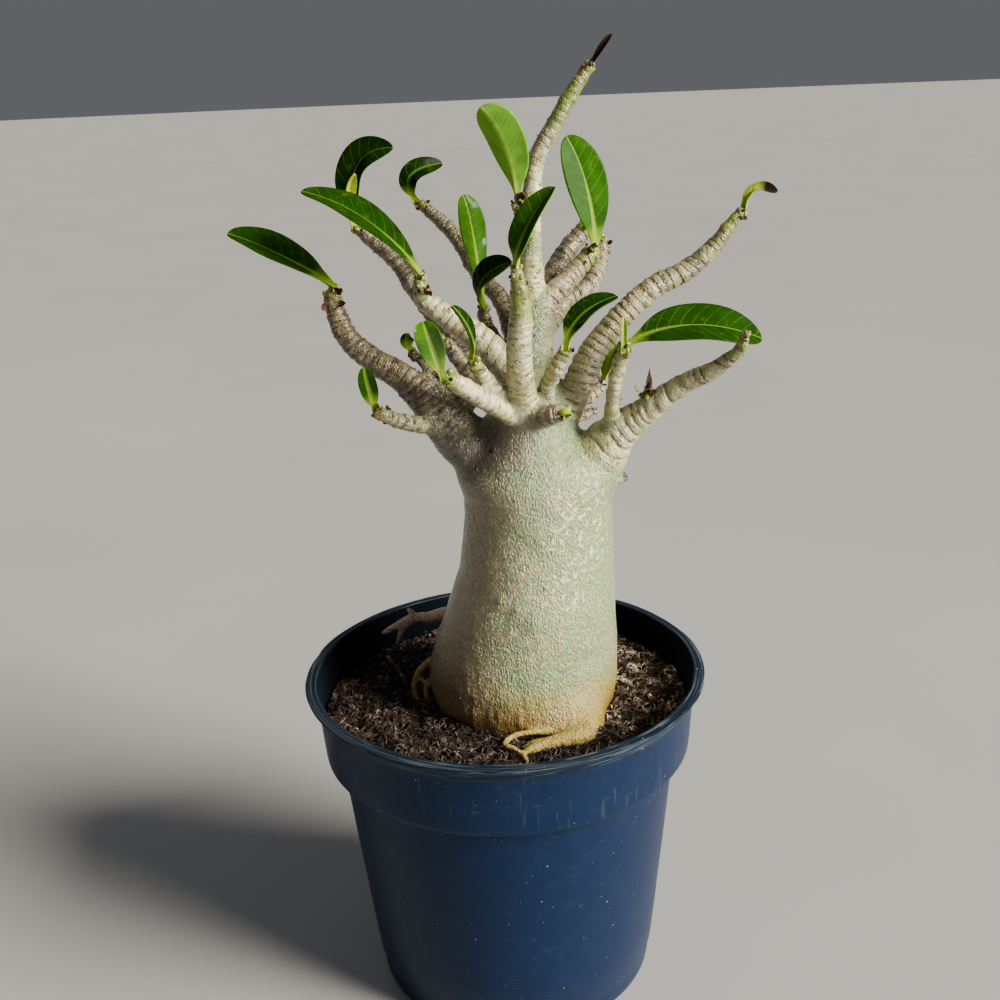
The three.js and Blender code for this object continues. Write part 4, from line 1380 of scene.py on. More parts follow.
def store(mesh, masks, skin):
    """Keeps the masks and the unrolled skin coordinate on the mesh for the material."""
    rows = [(key, "FLOAT", "value", values) for key, values in masks.items()]
    for key, kind, part, values in rows + [("skin", "FLOAT_VECTOR", "vector", skin * MM)]:
        layer = mesh.attributes.get(key) or mesh.attributes.new(key, kind, "POINT")
        layer.data.foreach_set(part, values.astype(np.float32).ravel())


masks = grow_details(skin_mesh, push=True)
print("mean masks:", {key: round(float(value.mean()), 3) for key, value in masks.items()})

# %% [markdown]
# The even net has more triangles than a piece may have, and most of them lie on smooth skin.
# Decimating by collapse removes those first and keeps the rings and scars. The masks are then
# worked out once more for the vertices that are left.

# %% Thin the net
MOST_TRIANGLES = 190000


def thin_net(mesh):
    holder = place_object("thinning", mesh)
    triangles = sum(len(face.vertices) - 2 for face in mesh.polygons)
    collapse = holder.modifiers.new("thin", "DECIMATE")
    collapse.ratio = min(1.0, MOST_TRIANGLES / triangles)
    thin = read_back(holder)
    print("triangles before and after:", triangles, len(thin.polygons))
    return thin


plant_mesh = thin_net(skin_mesh)
grow_details(plant_mesh, push=False)

# %% [markdown]
# ## Living bark
# The trunk is a waxy grey-green with warm beige clouds, pebbled by fine upright wrinkles. It
# turns ochre at the soil and carries small rust-brown lenticels. On the shoots, creases and
# scar rims are brown, old shoots are stained, and young tips are yellow-green between brown
# rings. Ring creases are drawn from the stored ring count, so they lie in the modelled grooves.

# %% Marks on the bark
PAINTED_SHADE_OLIVE, OLIVE, UMBER = (0.10, 0.085, 0.035), (0.22, 0.28, 0.10), (0.28, 0.19, 0.105)
# Clouds of colour on the trunk: where, radius, colour, strength. The dark clouds round the foot of
# the left limb and below it are painted shade, and the brown clouds down the left side are brown
# bark with painted shade.
CLOUDS_AND_SHADE = [
    ((8, -18, 219), 13, (0.24, 0.165, 0.12), 0.8), ((-15, -3, 224), 13, PAINTED_SHADE_OLIVE, 0.9),
    ((-14, -9, 222), 15, (0.08, 0.055, 0.022), 1.0), ((-7, -11, 216), 12, (0.03, 0.02, 0.01), 1.0),
    ((-11, -3, 212), 10, PAINTED_SHADE_OLIVE, 0.85), ((-25, 1, 231), 11, (0.10, 0.080, 0.040), 0.8),
    ((-10, -6, 205), 12, (0.13, 0.10, 0.05), 0.75), ((-13, -7, 190), 22, (0.17, 0.115, 0.06), 0.8),
    ((-17, -9, 168), 23, (0.22, 0.145, 0.075), 0.7), ((-27, -8, 145), 26, (0.33, 0.22, 0.12), 0.8),
    ((-17, -18, 127), 20, (0.32, 0.21, 0.10), 0.8), ((19, -20, 227), 8, (0.09, 0.055, 0.035), 0.8),
    ((1, -15, 219), 13, (0.14, 0.085, 0.055), 0.95),
    # Painted shade below the foot of the left limb
    ((-2, -15, 207), 15, (0.085, 0.06, 0.035), 1.0),
    ((29, -14, 209), 17, (0.20, 0.26, 0.07), 0.75), ((36, -16, 160), 20, OLIVE, 0.6),
    ((14, -26, 178), 16, (0.24, 0.30, 0.13), 0.5), ((-5, -22, 193), 17, (0.27, 0.195, 0.11), 0.85),
    ((-8, -22, 171), 15, UMBER, 0.85), ((-14, -20, 140), 22, (0.32, 0.215, 0.12), 0.85),
]
# Places with raised flecks: where, radius and colour. The pale flecks lie in the trunk's lit band:
# pale crust with painted glints.
TAN, PALE_CRUST_AND_GLINT = (0.48, 0.34, 0.18), (0.72, 0.67, 0.36)
FLECKED = [
    ((-4, -27, 155), 12, TAN), ((-1, -28, 157), 9, TAN), ((-10, -24, 164), 13, TAN),
    ((3, -27, 172), 13, TAN), ((13, -28, 168), 11, TAN), ((-4, -25, 178), 11, TAN),
    # Painted glints and pale crust in the lit band on the right
    ((29, -22, 185), 17, PALE_CRUST_AND_GLINT), ((28, -21, 200), 14, PALE_CRUST_AND_GLINT), ((24, -27, 165), 12, PALE_CRUST_AND_GLINT),
    ((24, -27, 148), 10, TAN), ((14, -29, 145), 10, TAN),
]
# Dark dots in the middle of scars, and two wide spots of painted shade in the crease under the left
# limb: where, radius, strength
DOTS_AND_SHADE = [
    ((-1.5, -11.8, 214.3), 1.9, 1.0), ((25.7, -17.2, 210.1), 1.3, 0.7),
    ((46.6, -3.4, 199.6), 3.0, 0.95), ((26.2, -25, 159.3), 1.0, 0.6),
    ((15.2, -27, 168.3), 0.9, 0.5), ((29.2, -23.8, 143.4), 1.0, 0.6),
    # Painted shade in the crease under the left limb
    ((-9, -10.5, 214), 11, 0.6), ((-3, -12, 220), 8, 0.5),
    ((5.7, -28.5, 154.6), 1.2, 0.5), ((34.3, -24, 148), 1.0, 0.5),
]
# Faint lines round the trunk: height, slope and width
LEVEL_LINES = [(143, 0.18, 0.9), (197, -0.05, 0.7), (139, -0.12, 0.8)]
# Share of the cells of a Voronoi texture that carry a leaf scar
SCARRED = 0.68


def local_spot(where, centre, radius, softness, cover):
    """A soft spot round one place, broken up by a mask."""
    inputs = {0: where, 1: tuple(v * MM for v in centre)}
    away = add(where, "ShaderNodeVectorMath", out="Value", inputs=inputs, operation="DISTANCE")
    return times(span(away, radius * MM, (1 - softness) * radius * MM), cover)


def level_line(where, height, slope, width, cover):
    """A faint line round the trunk, broken up by a mask."""
    x, _, z = split(where)
    away = calc("ABSOLUTE", minus(plus(z, times(x, slope)), height * MM))
    return times(span(away, width * MM, 0.3 * width * MM), cover)


def leaf_scars(skin):
    """Masks of the rims, faces and dark dots of oval leaf scars."""
    shift = add(skin, "ShaderNodeTexNoise", out="Color", inputs={"Vector": skin, "Scale": 900.0})
    shift = add(skin, "ShaderNodeVectorMath", inputs={0: shift, 1: (0.0013, 0.0013, 0.0013)},
                operation="MULTIPLY")
    bent = add(skin, "ShaderNodeVectorMath", inputs={0: skin, 1: shift}, operation="ADD")
    cells = add(skin, "ShaderNodeTexVoronoi", out="Distance", inputs={
        "Vector": stretch(bent, (1.6, 1, 1)), "Scale": 335.0, "Randomness": 0.9})
    draw = add(skin, "ShaderNodeSeparateColor", inputs={0: cells.node.outputs["Color"]})
    keep = calc("LESS_THAN", draw, SCARRED)
    rim = ramp(cells, (0.17, 0.0), (0.24, 1.0), (0.29, 1.0), (0.36, 0.0))
    face = ramp(cells, (0.17, 1.0), (0.24, 0.0))
    dot = ramp(cells, (0.09, 1.0), (0.15, 0.0))
    return [times(mask, keep) for mask in (rim, face, dot)]


print("clouds of colour:", len(CLOUDS_AND_SHADE), "dark dots:", len(DOTS_AND_SHADE))

# %% [markdown]
# The colours are laid over one another as thin paint would be: first the broad tints, then
# stains and bands, then creases, scars and dots. Each layer is one mask, how strongly it
# covers, and one colour.

# %% Bark material
def trunk_colour(tree, where, grain, flecks):
    """The colour of the swollen trunk, with painted shade on its side away from the light."""
    warm = use_group(PATCHES, where, scale=45.0, low=0.42, high=0.66)
    algae = use_group(PATCHES, where, scale=70.0, low=0.48, high=0.72)
    tan = use_group(PATCHES, where, scale=330.0, low=0.5, high=0.66)
    yellow = read(tree, "yellow")
    shade = blend(warm, (0.192, 0.258, 0.110), (0.262, 0.282, 0.142))
    shade = paint(shade, algae, 0.5, (0.19, 0.245, 0.07))
    shade = paint(shade, tan, 0.18, (0.52, 0.39, 0.24))
    # Painted shade, brown, on the side of the trunk turned away from the key light
    shade = paint(shade, read(tree, "painted_shade"), 0.4, (0.22, 0.145, 0.08))
    cover = ramp(grain, (0.4, 0.25), (0.6, 1.0))
    # Clouds of colour, among them painted shade round the left limb and down the left side
    for centre, radius, colour, strength in CLOUDS_AND_SHADE:
        shade = paint(shade, local_spot(where, centre, radius, 0.7, cover), strength, colour)
    x, _, z = split(where)
    ochre = blend(span(x, -0.02, 0.03), (0.36, 0.21, 0.09), (0.33, 0.21, 0.012))
    shade = paint(shade, span(z, 135 * MM, 117 * MM), 0.95, ochre)
    shade = paint(shade, yellow, 0.9, (0.38, 0.275, 0.045))
    for centre, radius, colour in FLECKED:
        shade = paint(shade, local_spot(where, centre, radius, 0.5, flecks), 0.75, colour)
    # Painted light: the strands at the left lie in shade and are painted a brighter golden brown
    # than their own
    strands = local_spot(where, (-31, 4, 117), 14, 0.25, yellow)
    shade = paint(shade, strands, 0.9, (0.48, 0.29, 0.085))
    for line in LEVEL_LINES:
        shade = paint(shade, level_line(where, *line, cover), 0.4, (0.48, 0.30, 0.20))
    return shade


def shoot_colour(tree, skin, valley_dirt_and_shade, crease, fine_rings, scars):
    """The shoots' colour: cream, stained brown, with dark creases, green tips and painted shade."""
    rim, face, dot = scars
    brown = read(tree, "brown")
    stain = use_group(PATCHES, skin, scale=300.0, low=0.34, high=0.6)
    olive = use_group(PATCHES, skin, scale=120.0, low=0.45, high=0.6)
    ripe = use_group(PATCHES, skin, scale=400.0, low=0.3, high=0.6)
    bands = ramp(cloud(stretch(skin, (1, 0.15, 0.15)), 420.0, 2.0), (0.52, 0.0), (0.59, 1.0))
    shade = blend(olive, (0.62, 0.565, 0.32), (0.42, 0.42, 0.15))
    # Painted shade, olive, on the side of the shoots turned away from the key light
    shade = paint(shade, read(tree, "painted_shade"), 0.62, (0.20, 0.165, 0.07))
    mottle = blend(stain, (0.095, 0.058, 0.033), (0.025, 0.015, 0.010))
    stained = times(brown, ramp(stain, (0.0, 0.55), (1.0, 1.0)))
    shade = blend(times(stained, 0.92, clamp=True), shade, mottle)
    fresh = blend(ripe, (0.075, 0.150, 0.0005), (0.18, 0.25, 0.002))
    fresh = paint(fresh, bands, 0.7, (0.13, 0.065, 0.03))
    shade = blend(read(tree, "green"), shade, fresh)
    # Dirt and painted shade in the ring valleys
    shade = paint(shade, valley_dirt_and_shade, 0.7, (0.20, 0.135, 0.06))
    shade = paint(shade, fine_rings, 0.25, (0.18, 0.11, 0.065))
    shade = paint(shade, crease, 0.9, (0.055, 0.027, 0.013))
    shade = paint(shade, rim, 0.8, blend(brown, (0.14, 0.055, 0.034), (0.25, 0.145, 0.10)))
    shade = paint(shade, face, 0.5, (0.42, 0.29, 0.18))
    return paint(shade, dot, 0.9, (0.018, 0.010, 0.007))


def make_bark():
    finish, tree, shader = new_finish("living bark", Specular_IOR_Level=1.0, Coat_Weight=0.05,
                                      Coat_Roughness=0.30)
    where = place_in(tree)
    skin = read(tree, "skin", "Vector")
    shoot, count, lines = (read(tree, key) for key in ("shoot", "rings", "lines"))
    pebble = cloud(stretch(where, (1, 1, 0.6)), 1400.0, 2.5, 0.55)
    grain = cloud(stretch(where, (1, 1, 0.4)), 2300.0, 2.0, 0.6)
    flecks = ramp(cloud(where, 480.0, 3.0, 0.6), (0.53, 0.0), (0.58, 1.0))
    fold = calc("PINGPONG", count, 0.5)
    broken = ramp(cloud(skin, 350.0), (0.40, 0.1), (0.6, 1.0))
    crease = times(times(ramp(fold, (0.02, 1.0), (0.15, 0.0)), broken), lines)
    # Dirt and painted shade in the broad valleys between the rings
    valley_dirt_and_shade = times(ramp(fold, (0.04, 1.0), (0.20, 0.4), (0.40, 0.0)), lines)
    often = plus(times(count, 3.0), times(cloud(skin, 500.0), 1.3))
    fine_rings = times(ramp(calc("PINGPONG", often, 0.5), (0.04, 1.0), (0.25, 0.0)), lines)
    scars = leaf_scars(skin)
    shade = blend(shoot, trunk_colour(tree, where, grain, flecks),
                  shoot_colour(tree, skin, valley_dirt_and_shade, crease, fine_rings, scars))
    # Painted light: the dry roots lie in the trunk's shadow and are painted paler than their own
    # colour
    shade = paint(shade, read(tree, "dead"), 0.9,
                  ramp(grain, (0.35, (0.33, 0.19, 0.12)), (0.62, (0.85, 0.57, 0.38))))
    # Dark scar dots, and painted shade in the crease under the left limb
    for centre, radius, strength in DOTS_AND_SHADE:
        shade = blend(local_spot(where, centre, radius, 0.5, strength), shade, (0.03, 0.016, 0.010))
    lentil = use_group(SPECKS, where, scale=190.0, size=0.20, share=0.2)
    shade = paint(shade, lentil, 0.8, (0.29, 0.12, 0.05))
    mottle = paint(ramp(pebble, (0.34, 0.66), (0.52, 1.0), (0.68, 1.32)), shoot, 0.7, 1)
    shade = blend(1.0, shade, mottle, "MULTIPLY")
    rough = ramp(pebble, (0.3, 0.44), (0.7, 0.2))
    height = plus(plus(pebble, times(grain, 0.35)), times(flecks, 0.25))
    height = times(height, minus(1.0, times(shoot, 0.72)))
    grooves = plus(times(crease, 0.9), times(fine_rings, 0.2))
    grooves = minus(plus(grooves, times(scars[2], 0.8)), times(scars[0], 0.35))
    height = minus(height, times(grooves, shoot))
    wire(shader, Base_Color=shade, Roughness=rough, Normal=relief(height, 0.0009, 0.95))
    return finish


plant = dress_mesh(plant_mesh, "plant_skin", make_bark())
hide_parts("plant")
print(count_faces(plant))

# %% [markdown]
# ## The leaves
# The leaves are oval, widest past the middle, with a blunt tip and a short pale stalk. Each
# one is told by the base, middle and tip of its midrib, by where its upper side looks, its
# half width and how far it is folded. The values are those of the plain blades. A row also
# gives the tone of its green, its gloss, how wavy its margin is, and where it turns dry.

# %% Leaf places
# What a blade is like where its row doesn't say otherwise
PLAIN_BLADE = {"fold": 15, "widest": 0.58, "stalk": 1.35, "gloss": 0.02, "wave": 0.04,
               "dry_from": 2.0}
LEAVES = {
    "leaf_far_left": {
        "base": (-54.5, 10, 270), "middle": (-74, 15.5, 281), "tip": (-90, 16.5, 288),
        "faces": (0.4, -0.4, 0.8), "half": 8.2, "fold": 19, "widest": 0.5, "tone": 0.34},
    "leaf_back_left": {
        "base": (-48.2, 46.6, 286.2), "middle": (-46, 44, 307), "tip": (-32, 39, 313.5),
        "faces": (-0.5, -0.8, 0.2), "half": 7.1, "fold": 30, "widest": 0.5, "tone": 0.24},
    "leaf_long_left": {
        "base": (-22.5, -3, 274), "middle": (-40, 3, 292), "tip": (-61.5, 6, 302),
        "faces": (0.5, -0.3, 0.8), "half": 9.2, "fold": 11, "tone": 0.34},
    "leaf_curled_left": {
        "base": (-26, 57, 293.5), "middle": (-27, 54, 302.5), "tip": (-15.5, 60, 306),
        "faces": (-0.3, -0.9, 0.4), "half": 4.5, "fold": 21, "tone": 0.04},
    "leaf_inner_upright": {
        "base": (-2.5, 28.5, 257.5), "middle": (-5, 31, 283), "tip": (-8, 32, 296.5),
        "faces": (0.6, -0.8, 0.1), "half": 5.4, "fold": 10, "tone": 0.68,
        "gloss": 0.12, "wave": 0.1},
    "leaf_inner_dark": {
        "base": (-2, 25, 257.5), "middle": (-2, 17, 268), "tip": (8.5, 12, 275),
        "faces": (-0.6, -0.5, 0.5), "half": 6, "fold": 20, "tone": 0.1},
    "leaf_front": {
        "base": (9, -34.5, 280.5), "middle": (12.5, -37.5, 291.5), "tip": (21.5, -30, 303),
        "faces": (-0.6, -0.6, 0.4), "half": 5.5, "fold": 25, "tone": 0.5},
    "leaf_low_left": {
        "base": (-40, -12, 230.5), "middle": (-41.5, -16.5, 239), "tip": (-42.5, -17.5, 246.5),
        "faces": (0.2, -1, -0.1), "half": 3.2, "tone": 0.45},
    "leaf_glossy_left": {
        "base": (-15, -43.2, 248), "middle": (-18, -49.5, 259.5), "tip": (-20, -48, 266.5),
        "faces": (0, -1, -0.1), "half": 4.3, "tone": 0.72, "gloss": 0.8, "wave": 0.16},
    "leaf_dim_left": {
        "base": (-28.3, 9, 246.3), "middle": (-29.3, 6, 250), "tip": (-28.3, 3, 253),
        "faces": (0.2, -0.9, 0.3), "half": 2.6, "tone": 0.1},
    "leaf_edge_on": {
        "base": (-6, -33, 251.5), "middle": (-6.5, -37.5, 260.5), "tip": (-11.5, -40.5, 269.5),
        "faces": (0.9, -0.3, 0.3), "half": 3.6, "tone": 0.14},
    "leaf_top": {
        "base": (11, 0, 297), "middle": (7, -9, 314), "tip": (0, -13.5, 327),
        "faces": (0.5, 0.8, 0.4), "half": 8.2, "fold": 20, "widest": 0.62, "tone": 0.76},
    "leaf_top_right": {
        "base": (38.2, 18.6, 277.2), "middle": (35.5, 22.5, 299), "tip": (29, 25.5, 315.5),
        "faces": (0.4, -0.9, 0.2), "half": 8, "fold": 9, "widest": 0.56, "tone": 0.55},
    "leaf_mid_right": {
        "base": (24.5, -27, 253), "middle": (30.5, -21, 261.5), "tip": (42.5, -12, 265.5),
        "faces": (-0.3, -0.5, 0.8), "half": 5, "fold": 21, "tone": 0.14},
    "leaf_long_right": {
        "base": (44.6, -23.8, 251.8), "middle": (66, -20.5, 256.5), "tip": (90, -16, 250),
        "faces": (0.05, -0.55, 0.85), "half": 9, "fold": 12, "widest": 0.6, "tone": 0.34},
    "leaf_back_right": {
        "base": (40.5, 17, 230), "middle": (42.5, 18, 237), "tip": (46.5, 22, 242.5),
        "faces": (-0.7, -0.5, 0.5), "half": 3.2, "fold": 9, "tone": 0.85},
}
NEW_LEAVES = {
    "new_leaf_back_left": {
        "base": (-49, 43, 286.6), "middle": (-48.8, 35.6, 298), "tip": (-45.5, 30, 305.5),
        "faces": (0.5, -0.8, 0.2), "half": 2.3, "fold": 25, "tone": 0.95},
    "new_leaf_right": {
        "base": (43.2, -25.6, 251.2), "middle": (43, -27.2, 257), "tip": (43, -27, 261.5),
        "faces": (0, -1, 0), "half": 1.1, "fold": 30, "tone": 0.9},
    "curled_leaf": {
        "base": (87.8, 5.5, 290.5), "middle": (91, 6, 296.3), "tip": (98.5, 4.5, 295.5),
        "faces": (-0.6, -0.5, 0.6), "half": 2.4, "fold": 35, "tone": 1.0,
        "gloss": 0.3, "wave": 0.2, "dry_from": 0.6},
}
DEAD_LEAVES = {
    "dead_leaf": {
        "base": (37, 12, 338.5), "middle": (40.5, 12, 343), "tip": (44, 12, 347.5),
        "faces": (-0.6, -0.8, 0.2), "half": 1.5, "fold": 40, "stalk": 1.1,
        "tone": 0.5, "dry_from": -1.0},
}
print("leaves:", len(LEAVES), "young:", len(NEW_LEAVES), "dead:", len(DEAD_LEAVES))

# %% [markdown]
# A blade could be a flat sheet with a texture of veins, but its arch, its wavy margin and the
# soft pillows between its side veins catch the light. So a grid is created for each leaf and
# its corners are laid out along the midrib. Extruding the sheet gives the underside, which
# carries a raised midrib, and one stored vector tells the material where on the blade it is.

# %% Blade shape
BLADE_ALONG = 46
BLADE_ACROSS = 20
# Side veins: distance apart in millimetres, how far they slant forward, and how much they bend
VEIN_PITCH = 4.3
VEIN_SLANT = 0.62
VEIN_BEND = 0.03
# How round the outline is, and the share of the blade over which it narrows to its stalk
ROUNDNESS = 0.55
NECK = 0.17
# Thickness at the margin, how many waves run along it, and how far the stalk enters the twig
MARGIN = 0.24
MARGIN_WAVES = 9
SINK = 2.0


def midrib_curve(base, middle, tip):
    """Place and direction along a midrib that passes through three points."""
    start, end = Vector(base), Vector(tip)
    bend = 2 * Vector(middle) - 0.5 * start - 0.5 * end

    def at(u):
        place = (1 - u) ** 2 * start + 2 * u * (1 - u) * bend + u ** 2 * end
        way = 2 * (1 - u) * (bend - start) + 2 * u * (end - bend)
        return place, way.normalized()
    return at


def half_width(u, half, widest, stalk):
    rise = widest * ROUNDNESS / (1 - widest)
    full = (u / widest) ** rise * ((1 - u) / (1 - widest)) ** ROUNDNESS
    full *= 1 - 0.5 * math.exp(-(u / NECK) ** 2)
    return max(half * full, stalk * (1 - u) + 0.12 * u)


def vein_phase(along, across):
    """Counts the side veins: whole numbers lie on a vein."""
    side = 0.5 if across < 0 else 0.0
    reach = abs(across)
    return (along - VEIN_SLANT * reach - VEIN_BEND * reach ** 2) / VEIN_PITCH + side


def blade_point(shape, at, length, t, offset, face):
    """One corner of the blade, and its distances along and across it."""
    u = 0.5 * t + 0.25 * (1 - math.cos(math.pi * t))
    u = 0.998 * u
    place, way = at(u)
    up = Vector(shape["faces"])
    up = (up - up.dot(way) * way).normalized()
    side = way.cross(up)
    stalk = shape["stalk"]
    width = half_width(u, shape["half"], shape["widest"], stalk)
    fold = math.radians(shape["fold"])
    edge = abs(offset)
    across = offset * width
    rib = 0.4 + (stalk * 0.75 - 0.4) * (1 - min(1, u * 2.5)) ** 2
    depth = rib + (MARGIN - rib) * min(1, edge * 1.3) ** 0.7
    ridge = math.exp(-(across / (0.75 - 0.4 * u)) ** 2) * (1 - 0.6 * u)
    pillow = abs(math.sin(math.pi * vein_phase(u * length, across)))
    pillow = pillow * (1 - edge ** 4) * min(1, 3 * edge)
    wavy = shape["wave"] * math.sin(MARGIN_WAVES * u + 2.5 * (offset > 0)) * edge ** 3 * width
    lift = edge * width * math.sin(fold) + wavy
    if face > 0:
        rise = depth - 0.22 * ridge + 0.05 * pillow
    else:
        rise = -depth - 0.42 * ridge + 0.07 * pillow
    place = place - way * SINK * max(0.0, 1 - 8 * u)
    return place + side * across * math.cos(fold) + up * (lift + rise), u * length, across


def make_blade(shape):
    """A closed blade with its stored position, tone and dryness."""
    at = midrib_curve(shape["base"], shape["middle"], shape["tip"])
    length = sum((at(k / 20 + 0.05)[0] - at(k / 20)[0]).length for k in range(20))
    bm = bmesh.new()
    blade = bm.verts.layers.float_vector.new("blade")
    spot = bm.verts.layers.float_vector.new("spot")
    tone, gloss, dry = (number_layer(bm, key) for key in ("tone", "gloss", "dry"))
    bmesh.ops.create_grid(bm, x_segments=BLADE_ALONG, y_segments=BLADE_ACROSS, size=1)
    for vertex in bm.verts:
        vertex[spot] = ((vertex.co.x + 1) / 2, vertex.co.y, 1)
    made = bmesh.ops.extrude_face_region(bm, geom=list(bm.faces), use_keep_orig=True)
    for part in made["geom"]:
        if isinstance(part, bmesh.types.BMVert):
            part[spot] = (part[spot][0], part[spot][1], -1)
    for vertex in bm.verts:
        t, offset, face = vertex[spot]
        offset = math.copysign(abs(offset) ** 0.85, offset)
        point, along, across = blade_point(shape, at, length, t, offset, face)
        vertex.co = point * MM
        vertex[blade] = (along * MM, across * MM, 0.5 - 0.5 * face)
        vertex[tone], vertex[gloss] = shape["tone"], shape["gloss"]
        vertex[dry] = min(1.0, max(0.0, (along / length - shape["dry_from"]) * 6))
    bm.verts.layers.float_vector.remove(bm.verts.layers.float_vector["spot"])
    bmesh.ops.recalc_face_normals(bm, faces=bm.faces)
    return bm


print("blade corners:", (BLADE_ALONG + 1) * (BLADE_ACROSS + 1) * 2)

# %% [markdown]
# ## Leaf green
# A leaf is deep green and waxy above, paler and duller below, with a pale midrib that widens
# to the stalk and thin pale side veins that bend towards the tip. The veins follow the stored
# distances along and across the blade, so they bend with it. Old leaves are darker: a stored
# tone runs from the deepest green to the yellow-green of young leaves, and dryness turns the
# blade brown.

# %% Leaf material
def vein_lines(along, across):
    """A mask of thin side veins, from the distances along and across in metres."""
    reach = calc("ABSOLUTE", across)
    slant = times(reach, VEIN_SLANT)
    bend = times(times(reach, reach), VEIN_BEND / MM)
    phase = calc("DIVIDE", minus(along, plus(slant, bend)), VEIN_PITCH * MM)
    phase = plus(phase, times(calc("LESS_THAN", across, 0.0), 0.5))
    return ramp(calc("PINGPONG", phase, 0.5), (0.012, 1.0), (0.055, 0.0))


def make_leaf_green():
    finish, tree, shader = new_finish("leaf green", Specular_IOR_Level=0.02, Coat_Roughness=0.10)
    where = place_in(tree)
    along, across, under = split(read(tree, "blade", "Vector"))
    tone, dry = read(tree, "tone"), read(tree, "dry")
    upper = ramp(tone, (0.0, (0.0025, 0.011, 0.0004)), (0.3, (0.005, 0.028, 0.0004)),
                 (0.6, (0.015, 0.070, 0.0005)), (0.8, (0.050, 0.155, 0.001)),
                 (1.0, (0.40, 0.48, 0.02)))
    lower = ramp(tone, (0.0, (0.016, 0.050, 0.006)), (0.6, (0.11, 0.29, 0.018)),
                 (0.8, (0.16, 0.37, 0.03)), (1.0, (0.52, 0.58, 0.05)))
    shade = blend(ramp(under, (0.45, 0.0), (0.55, 1.0)), upper, lower)
    uneven = cloud(where, 140.0, 4.0)
    shade = blend(1.0, shade, ramp(uneven, (0.3, 0.72), (0.7, 1.25)), "MULTIPLY")
    edge = use_group(PATCHES, where, scale=220.0, low=0.56, high=0.72)
    shade = paint(shade, edge, 0.3, (0.10, 0.16, 0.012))
    pale = blend(tone, (0.05, 0.13, 0.012), (0.34, 0.44, 0.05))
    veins = vein_lines(along, across)
    fade = ramp(cloud(where, 90.0), (0.35, 0.10), (0.65, 0.36))
    shade = paint(shade, veins, fade, pale)
    base = span(along, 0.0, 24 * MM, 1.4 * MM, 0.26 * MM)
    rib = ramp(calc("DIVIDE", calc("ABSOLUTE", across), base), (0.55, 1.0), (1.0, 0.0))
    shade = paint(shade, rib, 0.7, pale)
    shade = paint(shade, span(along, 7 * MM, 1.5 * MM), 0.8, (0.24, 0.36, 0.02))
    brown = ramp(uneven, (0.35, (0.004, 0.003, 0.0025)), (0.65, (0.030, 0.015, 0.009)))
    shade = blend(dry, shade, brown)
    rough = blend(dry, blend(under, 0.4, 0.5), 0.75)
    height = minus(times(uneven, 0.4), times(veins, 0.5))
    wire(shader, Base_Color=shade, Roughness=rough, Coat_Weight=read(tree, "gloss"),
         Normal=relief(height, 0.0003, 0.7))
    return finish


leaf_green = make_leaf_green()
print("leaf finish nodes:", len(leaf_green.node_tree.nodes))

# %% Hang the leaves
total = 0
for slot, leaves in (("leaf", LEAVES), ("young_leaf", NEW_LEAVES), ("dried_leaf", DEAD_LEAVES)):
    for name, shape in leaves.items():
        piece = finish_piece(make_blade({**PLAIN_BLADE, **shape}), name + "_blade", leaf_green)
        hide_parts(name)
        total += len(piece.data.polygons)
print("blade faces in all:", total)

# %% [markdown]
# ## Buds and dried scraps
# A shoot ends in a knot of tiny green leaf bases, with brown scraps of dried leaves round it.
# Old shoots keep short brown points where leaf stalks broke off. Hair curves or particles
# would be lost in the export, so all of these are real small meshes: squeezed icospheres for
# the buds, bent and thickened grids for the scraps, and three-sided cones for the points. A few
# green sprouts break out of the broken stub and the dry tuft, and have the finish of the leaves.

# %% Places on a shoot
def on_shoot(name, back, turn, lift=0.0):
    """A place on a shoot's skin, some way back from its tip, and the directions there."""
    line = LINES[name]
    k = int(np.searchsorted(line["along"], line["along"][-1] - back))
    k = min(max(k, 0), len(line["along"]) - 1)
    out = line["across"][k] * math.cos(turn) + line["third"][k] * math.sin(turn)
    place = line["places"][k] + out * (line["radii"][k] + lift)
    return Vector(place), Vector(out), Vector(line["heading"][k])


def frame_at(place, up, forward):
    """A matrix that stands at a place with its Z along up and its X close to forward."""
    up = up.normalized()
    side = up.cross(forward).normalized()
    axes = Matrix((side.cross(up), side, up)).transposed().to_4x4()
    return Matrix.Translation(place * MM) @ axes


print("tip of the leader:", on_shoot("leader", 0, 0)[0])

# %% Buds
BUDS_PER_TIP = 6


def make_buds(name, draw):
    """A knot of squeezed spheres round one tip, coloured like the bark there."""
    bm = bmesh.new()
    layers = {key: number_layer(bm, key) for key in ("rings", "shoot", "green", "brown")}
    skin = bm.verts.layers.float_vector.new("skin")
    thick = min(1.0, LINES[name]["radii"][-1] / 2.2)
    for i in range(BUDS_PER_TIP):
        place, out, forward = on_shoot(name, 2.6 * draw(), 2.4 * i + draw(), -0.35 * thick)
        size = (0.7 + 0.5 * draw()) * thick
        if i == 0:
            place, out, forward = on_shoot(name, 0, 0, -LINES[name]["radii"][-1])
            size = 1.35 * thick
        pose = frame_at(place, forward + 0.5 * out, out) @ Matrix.Diagonal((1, 0.85, 1.35, 1))
        pose = pose @ Matrix.Scale(size * MM, 4)
        for vertex in small_ball(bm, pose):
            vertex[layers["rings"]] = 0.5
            vertex[layers["shoot"]] = 1.0
            vertex[layers["green"]] = 1.0 if draw() > 0.04 else 0.3
            vertex[skin] = vertex.co + Vector((0, 0.9, 0.4))
    return bm


